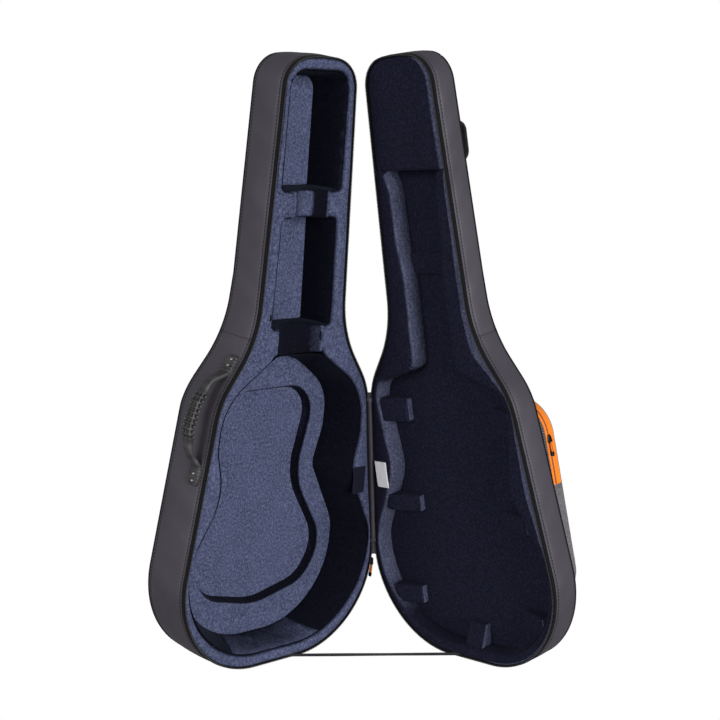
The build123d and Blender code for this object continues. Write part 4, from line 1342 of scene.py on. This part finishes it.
class CASE_OT_bumpers(CasePiece, bpy.types.Operator):
    """The lid's foam bumpers: cubes with rounded edges carried onto wedges that rise from the
    recess floor to the lip, each swollen a little on its slope as a sine both ways."""

    bl_idname = "case.bumpers"
    bl_label = "Lid bumpers"

    def execute(self, context):
        recess = Loop(LID_RECESS, 3.0)
        puff = lambda a, b, c: 1.1 * np.sin(np.pi * a) * np.sin(np.pi * b) * c
        blocks = {}
        for name, (inner, outer, low, high) in BUMPERS.items():
            edge = float(recess.half_width((low + high) / 2)) + 1.5
            stops = [inner, outer, edge]
            top = lambda x, y, stops=stops: np.interp(np.abs(x), stops, [20.0, 2.6, 2.2])
            for side, ends in (("hinge", (inner, edge)), ("free", (-edge, -inner))):
                blocks[f"{name}_{side}"] = ends, (low, high), top, (0.14, 0.3, 0.3)
        tail = lambda x, y: np.interp(y, [24, 64], [2.2, 20])
        blocks["tail"] = (-29, 13), (22.5, 64), tail, (0.25, 0.16, 0.3)
        for name, (x, y, top, roundness) in blocks.items():
            parts = soft_block(block_on(LID, x, y, (top, 31), puff), roundness, 13)
            node = [f"lid_bumper_{name}"]
            cushion(f"bumper_{name}", parts, LID, node, inward=False)
        return {"FINISHED"}


class CASE_OT_labels(CasePiece, bpy.types.Operator):
    """Small flat pieces: the bare label and the hook patch as thin rounded blocks, the label
    lifting at one corner as a square, with their stitches, and the cord loop as a half ring."""

    bl_idname = "case.labels"
    bl_label = "Label, patch and loop"

    def execute(self, context):
        curl = lambda a, b, c: 0.3 * ramp(a + b, 1.2, 1) ** 2 + 0.2 * np.sin(np.pi * b)
        label = block_on(LID, (154, 182), (297, 345), (-3.4, -1.4), curl)
        parts = soft_block(label, (0.06, 0.04, 0.5), 13)
        dress("bare_label", parts, LID, "label_white", ["lid_label"], inward=False)
        patch = block_on(BASE, (151, 179), (287, 337), (-3.2, -1.0))
        parts = soft_block(patch, (0.28, 0.16, 0.6), 13)
        dress("hook_tape", parts, BASE, "hook_tape", ["hook_patch"], "black_trim", inward=False)
        for name, half, x, y, level, paint, slot in (
            ("label", LID, (155.5, 180.5), (298.5, 343.5), -3.62, "label_white", "label_white"),
            ("patch", BASE, (153.5, 176.5), (290, 334), -3.35, "thread", "black_trim"),
        ):
            bars = stitch_box(half, x, y, level, 0.5e-3)
            emit(f"{name}_stitches", bars, half.body, paint, slot)
        angles = np.linspace(-0.25, np.pi + 0.25, 26)
        path = BASE.place(-74, 626 + 5.5 * np.cos(angles), -0.6 - 2.7 * np.sin(angles))
        cord = tube(path, 0.00145, 10, False)
        emit("black_cord_loop", [cord], "base", "black_trim", nodes=["cord_loop"])
        return {"FINISHED"}


class CASE_OT_pocket(CasePiece, bpy.types.Operator):
    """The lid's front and its pocket: a panel crowned as a half circle across, a side swept round
    it in heather cloth, and an orange zip of two raised tapes with a coil between them, bordered
    by double stitch rows."""

    bl_idname = "case.pocket"
    bl_label = "Pocket"

    def execute(self, context):
        loop = Loop(POCKET, 3.0)
        face = Loop(OUTLINE, grow=-3.4)
        u, wide, y = rows_across(face, 3.5, 1056.5, 120, 41, 0.8, (face.low, face.high))
        front = LID.place(u * wide, y, LID.back(y) - 0.2)
        node = ["lid_front_panel"]
        dress("lid_front_skin", [grid(front)], LID, "leatherette", node, inward=False)
        low, high = POCKET_LOW, POCKET_HIGH
        u, wide, y = rows_across(loop, low + 0.2, high - 0.2, 80, 45, 0.8, (loop.low, loop.high))
        x = u * wide
        reach = loop.half_width(np.clip(y, low + 0.3, high - 0.3))
        ends = np.minimum(y - low, high - y)
        edge = np.clip(np.minimum(reach - np.abs(x), ends) / 9, 0, 1)
        rise = np.sqrt(1 - (1 - edge) ** 2)
        full = np.sqrt(np.clip(1 - (x / (reach + 1)) ** 2, 0, 1) * np.clip(ends / 120, 0, 1))
        sag = ripple(y * 0.9 + x * 0.5, 83, 81) * ripple(x - y * 0.3, 97, 82) * 0.8 * edge
        panel = LID.place(x, y, 98.3 + 4.2 * rise + 2.2 * full + sag)
        dress("pocket_face", [grid(panel)], LID, "pocket_grey", ["pocket_panel"], inward=False)
        t, along = np.linspace(0, 1, 23)[None], loop.along[:, None]
        depth = 56.8 + t * (99.5 - 56.8)
        swell = np.sin(np.pi * t) * (0.5 + 0.5 * ripple(along + 20 * t, 74, 83))
        swell = swell * np.clip(np.abs(depth - POCKET_TEETH) / 10 - 0.9, 0, 1)
        swell = swell + 0.15 * ripple(along, 37, 84)
        side = grid(surface(LID, loop.points, loop.normals, -swell, depth), True)
        dress("pocket_side", [side], LID, "pocket_grey", ["pocket_gusset"], inward=False)
        tapes = []
        for low, high in ((78.0, 83.0), (86.0, 97.4)):
            groove = (low + high) / 2
            tapes += swept(LID, loop, [
                (0.5, low), (-0.8, low + 0.1), (-1.1, low + 0.7), (-1.05, groove - 0.7),
                (-0.6, groove), (-1.05, groove + 0.7), (-1.1, high - 0.7), (-0.8, high - 0.1),
                (0.5, high),
            ], loop.points[:, 1] > POCKET_ZIP_START)
        dress("pocket_zip_tape", tapes, LID, "orange_zip", ["pocket_zip"], inward=False)
        keep = lambda x, y: y > POCKET_ZIP_START
        spots, ahead, _ = along_loop(LID, loop, 2.2, -0.7, POCKET_TEETH, keep)
        teeth = capsules(spots, LID.axes[2], ahead, 3.2e-3, 1.3e-3, 1.5e-3)
        emit("pocket_zip_teeth", [teeth], "lid", "orange_dark", "orange_zip")
        rows = []
        for level in (75.4, 72.8):
            line = along_loop(LID, loop, 4.6, -0.75, level, keep)
            rows.append(capsules(*line, 3.2e-3, 0.7e-3, 0.7e-3))
        start, levels = loop.nearest(-170.5, POCKET_ZIP_START), np.linspace(73.5, 95.5, 9)
        rows += [down_seam(LID, loop, start + by, 0.5, levels, 2.2e-3, 0.7e-3) for by in (6, 10)]
        emit("pocket_stitches", rows, "lid", "thread", "pocket_grey")
        return {"FINISHED"}


class CASE_OT_strap(CasePiece, bpy.types.Operator):
    """The restraint strap: a flat band with rounded edges between its corners on the two rims,
    turned by a few degrees half way. Its sewn tabs stay on the rims."""

    bl_idname = "case.strap"
    bl_label = "Restraint strap"

    def execute(self, context):
        for half in (BASE, LID):
            tab = soft_block(block_on(half, STRAP_EDGES, (3.1, 4.8), (-3.7, 2.0)), (0.1, 0.6, 0.2))
            name, node = f"{half.body}_strap_end", [f"strap_{half.body}_tab"]
            dress(name, tab, half, "webbing", node, "black_trim", inward=False)
        t = np.linspace(0, 1, 70)[:, None]
        corners = [
            [half.place(x, STRAP_Y, STRAP_LEVEL) for half in (BASE, LID)]
            for x in (*STRAP_EDGES, sum(STRAP_EDGES) / 2)
        ]
        first, last = corners[2]
        near_edge, far_edge = [start * (1 - t) + end * t for start, end in corners[:2]]
        middle, reach = (near_edge + far_edge) / 2, (far_edge - near_edge) / 2
        run = unit(last - first)
        turn = np.radians(2.5) * np.sin(np.pi * t) ** 2 * np.sin(np.pi * t * 2 + 0.7)
        wide = reach * np.cos(turn) + np.cross(run, reach) * np.sin(turn)
        thick = unit(np.cross(run, wide)) * 0.0007
        ring = np.stack([middle + wide * a + thick * b for a, b in (
            (-1, 0), (-0.96, 1), (-0.5, 1.1), (0, 1.1), (0.5, 1.1), (0.96, 1),
            (1, 0), (0.96, -1), (0.5, -1.1), (0, -1.1), (-0.5, -1.1), (-0.96, -1),
        )], 1)
        band, node = [grid(ring, False, True, True)], ["restraint_strap"]
        strap = emit("strap_band", band, None, "webbing", "black_trim", node)
        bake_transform(strap)
        return {"FINISHED"}


def power(value, k):
    """A value's size to a power, with its sign kept."""
    return np.sign(value) * np.abs(value) ** k


class CASE_OT_handle(CasePiece, bpy.types.Operator):
    """The moulded carry handle: a flattened oval section swept along a fillet path from plate to
    plate. The grip is 9 rungs with two rows of pits between them, each pit a smooth box along
    and across. Plates are ribbed blocks, each with two domed rivets."""

    bl_idname = "case.handle"
    bl_label = "Carry handle"

    def execute(self, context):
        run = unit(SHOULDER_WAY)
        lower = np.array([-(TAIL_WIDTH - math.tan(SLOPE) * 363), 363.0])
        upper = np.array([-SHOULDER[0], SHOULDER[1]]) + run * 68
        chord = unit(upper - lower)
        span_out = np.linalg.norm(upper - lower)
        out = np.array([-chord[1], chord[0]])
        path, normals = open_path([
            (14, 3, 0), (35, 32, 26), (73, 46.5, 50), (span_out - 73, 46.5, 50),
            (span_out - 33, 33, 26), (span_out - 14, 6, 0),
        ], 1.1)
        u = path[:, 0]
        grip = ramp(u, 46, 16) * ramp(u, span_out - 46, -16)
        grip = grip * grip * (3 - 2 * grip)
        foot = np.clip(1 - np.minimum(u - 14, span_out - 14 - u) / 12, 0, 1)
        wide = 9.5 + 2.5 * np.clip(grip * 1.2, 0, 1) + 1.6 * foot
        angle = np.linspace(0, math.tau, 56, endpoint=False)[None]
        flank = np.abs(np.sin(angle))
        w = power(np.cos(angle), 0.5) * wide[:, None]
        q = power(np.sin(angle), 0.6) * (4.3 + 1.7 * grip)[:, None]
        along = np.append(0, np.cumsum(np.linalg.norm(np.diff(path, axis=0), axis=1)))
        start, end = np.interp((56, span_out - 56), u, along)
        beat = (along - start) / (end - start) * 9
        hole = np.clip(np.sin(np.pi * (beat % 1)) * 2.2 - 0.9, 0, 1) * ((beat > 0) & (beat < 9))
        hole = hole[:, None]
        across = np.clip(1 - (np.abs(np.abs(w) - 5.2) / 3.2) ** 4, 0, 1)
        pit = hole * across * (flank > 0.35)
        q = q * (1 - 0.34 * pit)
        q = q + np.sign(q) * 0.5 * (1 - hole) * grip[:, None] * (flank > 0.3)
        brink = hole * np.clip(1.6 - flank * 3, 0, 1)
        w = w * (1 - 0.17 * brink)
        spots = path[:, None] - normals[:, None] * q[..., None]
        ring = BASE.lay(lower + spots @ [chord, out], HANDLE_DEPTH + w)
        bar, node = [grid(ring, False, True, True)], ["handle_grip"]
        handle = emit("handle_bar", bar, "base", "handle_rubber", nodes=node, flip=True)
        # Painted shade: the pits and the notches at the grip's edges are painted near black through
        # the pit attribute.
        set_attribute(handle, "pit", np.maximum(pit, brink))
        heads = []
        for name, spot, way, far in (
            ("lower", lower, (math.sin(SLOPE), math.cos(SLOPE)), -1), ("upper", upper, run, 1),
        ):
            place = framed(BASE.lay(spot, HANDLE_DEPTH), (*way, 0), (-way[1], way[0], 0))

            def ribbed(a, b, c, place=place):
                round_off = 1 - 0.16 * (2 * np.abs(a - 0.5)) ** 4
                rise = 6 * c + 0.8 * np.clip(c * 4 - 3, 0, 1) * np.sin(a * math.tau * 6)
                return place(36 * (a - 0.5), 26 * (b - 0.5) * round_off, rise - 2.0 * (1 - c))

            parts, node = soft_block(ribbed, (0.28, 0.38, 0.4), 37), [f"handle_plate_{name}"]
            emit(f"handle_foot_{name}", parts, "base", "handle_rubber", nodes=node)
            heads += [dome(place, step, 5.9, 3.3, 1.8) for step in (far * 10, -far * 2)]
        emit("handle_rivet_heads", heads, "base", "rivet_steel", nodes=["handle_rivets"])
        return {"FINISHED"}


class CASE_OT_neck_handle(CasePiece, bpy.types.Operator):
    """The webbing handle on the lid's neck: a flat section with rounded edges swept along a
    fillet path, sewn down at both feet with boxed crosses of stitches."""

    bl_idname = "case.neck_handle"
    bl_label = "Webbing handle"

    def execute(self, context):
        path, normals = open_path([
            (836, 53.2, 0), (861, 53.2, 9), (879, 86, 16), (930, 86, 16), (948, 53.2, 9),
            (973, 53.2, 0),
        ], 2.0)
        upper = [(-12.1, -1.2), (-6, -1.5), (0, -1.5), (6, -1.5), (12.1, -1.2)]
        section = [(-12.5, 0), *upper, (12.5, 0), *[(-w, -q) for w, q in upper]]
        rows = [(-45 + w, *(path + normals * q).T) for w, q in section]
        ring = [grid(np.stack([LID.place(*row) for row in rows], 1), False, True, True)]
        dress("neck_webbing", ring, LID, "webbing", ["neck_handle"], "black_trim")
        bars = []
        for middle in (848, 961):
            y = middle - 8.5, middle + 8.5
            bars += stitch_box(LID, (-53.5, -36.5), y, 54.8, 0.6e-3, True)
        emit("neck_webbing_stitches", bars, "lid", "thread", "black_trim")
        return {"FINISHED"}


def slider_frames():
    """Place functions for the main slider on the tail corner and the pocket slider on its side."""
    reach = TAIL_RADIUS * math.tan((math.pi / 2 + SLOPE) / 2)
    turn = math.radians(-5.65)
    out = np.array([math.cos(turn), math.sin(turn), 0])
    xy = np.array([TAIL_WIDTH - reach, TAIL_RADIUS]) + TAIL_RADIUS * out[:2]
    main = framed(BASE.lay(xy, -2), (-out[1], out[0], 0), out)
    run = unit([25.0, POCKET_HIGH - POCKET_LOW])
    away = np.array([-run[1], run[0]])
    xy = np.array([-POCKET[0][0], POCKET_LOW]) + run * 290 + away
    pocket = framed(LID.lay(xy, POCKET_TEETH), LID.aim(run), LID.aim(away))
    return main, pocket


class CASE_OT_sliders(CasePiece, bpy.types.Operator):
    """Zip sliders and pulls: a plate that narrows to one end, an arch as a bent tube, and a ring
    through it. The main pull is an orange tab with a black tip, and the pocket's is a doubled
    orange cord with a black end."""

    bl_idname = "case.sliders"
    bl_label = "Zip sliders and pulls"

    def execute(self, context):
        main, pocket = slider_frames()
        pivot = 0.35 + 2.2 + 1.15
        bow = [(-3.8, 2.2), (-3.8, 4.4), (-3.3, 5.2), (-2.2, 5.55)]
        arch = bow + [(0, 5.6)] + [(-u, w) for u, w in reversed(bow)]
        angles = np.linspace(0, math.tau, 24, endpoint=False)
        for name, place in (("main", main), ("pocket", pocket)):
            def plate(a, b, c, place=place):
                waist = 1 - 0.22 * ramp(a, 0.45, 0.55) - 0.1 * np.sin(np.pi * a)
                return place(14 * (a - 0.5), 9 * (b - 0.5) * waist, 0.35 + 2.2 * c)

            path = np.stack([place(u, 0.0, w) for u, w in arch])
            parts = soft_block(plate, (0.35, 0.5, 0.6), 11) + [tube(path, 0.0007, 8, False)]
            body = f"{name}_slider"
            emit(f"{body}_body", parts, body, "black_metal", nodes=[body])
            ring = place(-3.75 + 4.1 * np.cos(angles), 3.0 * np.sin(angles), pivot)
            emit(f"{name}_pull_ring", [tube(ring, 0.00065, 8)], f"{name}_pull", "black_metal")

        def bead(place, start, length, width, taper, thick, ends):
            """A rounded tab hanging from its start, whose width changes evenly along it."""
            return soft_block(lambda a, b, c: place(
                start - length * a, width * (b - 0.5) * (taper[0] + taper[1] * a),
                pivot - thick / 2 + thick * (1 - c),
            ), ends, 11)

        tab = bead(main, -7.0, 15.5, 7.0, (0.72, 0.28), 1.5, (0.16, 0.4, 0.6))
        emit("main_pull_tab", tab, "main_pull", "orange_zip", nodes=["main_pull"])
        tip = bead(main, -21.6, 8.4, 7.8, (1, -0.12), 1.9, (0.5, 0.5, 0.6))
        emit("main_pull_tip", tip, "main_pull", "black_metal", "black_metal")
        bend = np.linspace(-np.pi / 2, np.pi / 2, 9)
        strand = [(-u, 1.5 + 0.5 * math.sin((u - 7) / 14 * math.pi)) for u in range(9, 22, 2)]
        cord = [(-7.0 + 0.9 * math.cos(a), 1.5 * math.sin(a)) for a in bend] + strand
        cord += [(-21.5, 1.2), (-21.5, -1.2)] + [(u, -v) for u, v in reversed(strand)]
        path = np.stack([pocket(u, v, pivot) for u, v in cord])
        cord = [tube(path, 0.0011, 10)]
        emit("pocket_pull_cord", cord, "pocket_pull", "orange_zip", nodes=["pocket_pull"])
        end = bead(pocket, -20.0, 10.0, 6.6, (1, -0.1), 2.0, (0.4, 0.5, 0.6))
        emit("pocket_pull_end", end, "pocket_pull", "black_metal", "black_metal")
        return {"FINISHED"}


class CASE_OT_restyle(CasePiece, bpy.types.Operator):
    """The back panel, kept from the CAD model, gets the walls' leatherette."""

    bl_idname = "case.restyle"
    bl_label = "Finish the kept pieces"

    def execute(self, context):
        panel = bpy.data.objects["base_back_panel"]
        panel.data.materials.clear()
        panel.data.materials.append(finish("leatherette"))
        return {"FINISHED"}


class CASE_OT_stage(CasePiece, bpy.types.Operator):
    """Camera and light: a long lens above the free side, a soft sun from above, a weaker one
    along the case's hinge side, and an even dim light all round. Only the camera sees the
    background as white."""

    bl_idname = "case.stage"
    bl_label = "Camera and light"

    def execute(self, context):
        scene = context.scene
        key, fill = scene.case_sizes.key_strength, scene.case_sizes.fill_strength
        camera = bpy.data.objects.new("camera", bpy.data.cameras.new("camera"))
        camera.data.lens, camera.data.sensor_width = 80.7, 36.0
        right, upward = (0.7263, 0.0856, 0.6820), (0.0857, 0.9732, -0.2133)
        behind, spot = (-0.6820, 0.2134, 0.6995), (-1.7982, 0.9027, 2.0935)
        rows = zip(right, upward, behind, spot)
        camera.matrix_world = mathutils.Matrix((*rows, (0, 0, 0, 1)))
        scene.collection.objects.link(camera)
        scene.camera = camera
        for name, power_in, angle, direction in (
            ("key", key, 34, (0.10, -0.22, -1.0)), ("side", key * 0.5, 40, (1.0, -0.20, 0.04)),
        ):
            light = bpy.data.lights.new(name, "SUN")
            light.energy, light.angle = power_in, math.radians(angle)
            lamp = bpy.data.objects.new(name, light)
            lamp.rotation_mode = "QUATERNION"
            lamp.rotation_quaternion = mathutils.Vector(direction).to_track_quat("-Z", "Y")
            scene.collection.objects.link(lamp)
        world = bpy.data.worlds.new("white_room")
        scene.world = world
        world.use_nodes = True
        world.node_tree.nodes.clear()
        board = Board(world.node_tree)
        even, white = [
            board.node("ShaderNodeBackground", inputs={"Color": rgb(1, 1, 1), "Strength": power_in})
            for power_in in (fill, 1.0)
        ]
        seen = board.node("ShaderNodeLightPath", "Is Camera Ray")
        mixed = board.node("ShaderNodeMixShader", inputs={0: seen, 1: even, 2: white})
        board.node("ShaderNodeOutputWorld", inputs={"Surface": mixed})
        view = scene.view_settings
        view.view_transform, view.look, view.exposure, view.gamma = "Standard", "None", 0.0, 1.0
        return {"FINISHED"}


PIECES = (
    CASE_OT_skins, CASE_OT_trim, CASE_OT_zips, CASE_OT_spine, CASE_OT_base_lip, CASE_OT_body_well,
    CASE_OT_neck_wells, CASE_OT_lid_lining, CASE_OT_bumpers, CASE_OT_labels, CASE_OT_pocket,
    CASE_OT_strap, CASE_OT_handle, CASE_OT_neck_handle, CASE_OT_sliders, CASE_OT_restyle,
    CASE_OT_stage,
)


class CASE_PT_panel(bpy.types.Panel):
    """The case's settings and one button for each group of pieces."""

    bl_label = "Guitar case"
    bl_idname = "CASE_PT_panel"
    bl_space_type = "VIEW_3D"
    bl_region_type = "UI"
    bl_category = "Case"

    def draw(self, context):
        for group in (context.scene.case_sizes, context.scene.case_colors):
            for name in type(group).__annotations__:
                self.layout.prop(group, name)
        for piece in PIECES:
            self.layout.operator(piece.bl_idname)


KINDS = (GuitarCaseSizes, GuitarCaseColors, *PIECES, CASE_PT_panel)


def register():
    for kind in KINDS:
        bpy.utils.register_class(kind)
    bpy.types.Scene.case_sizes = bpy.props.PointerProperty(type=GuitarCaseSizes)
    bpy.types.Scene.case_colors = bpy.props.PointerProperty(type=GuitarCaseColors)


def unregister():
    del bpy.types.Scene.case_sizes, bpy.types.Scene.case_colors
    for kind in reversed(KINDS):
        bpy.utils.unregister_class(kind)


def main():
    """Registers the add-on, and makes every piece."""
    register()
    for piece in PIECES:
        group, name = piece.bl_idname.split(".")
        getattr(getattr(bpy.ops, group), name)()
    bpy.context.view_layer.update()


if __name__ == "__main__":
    main()
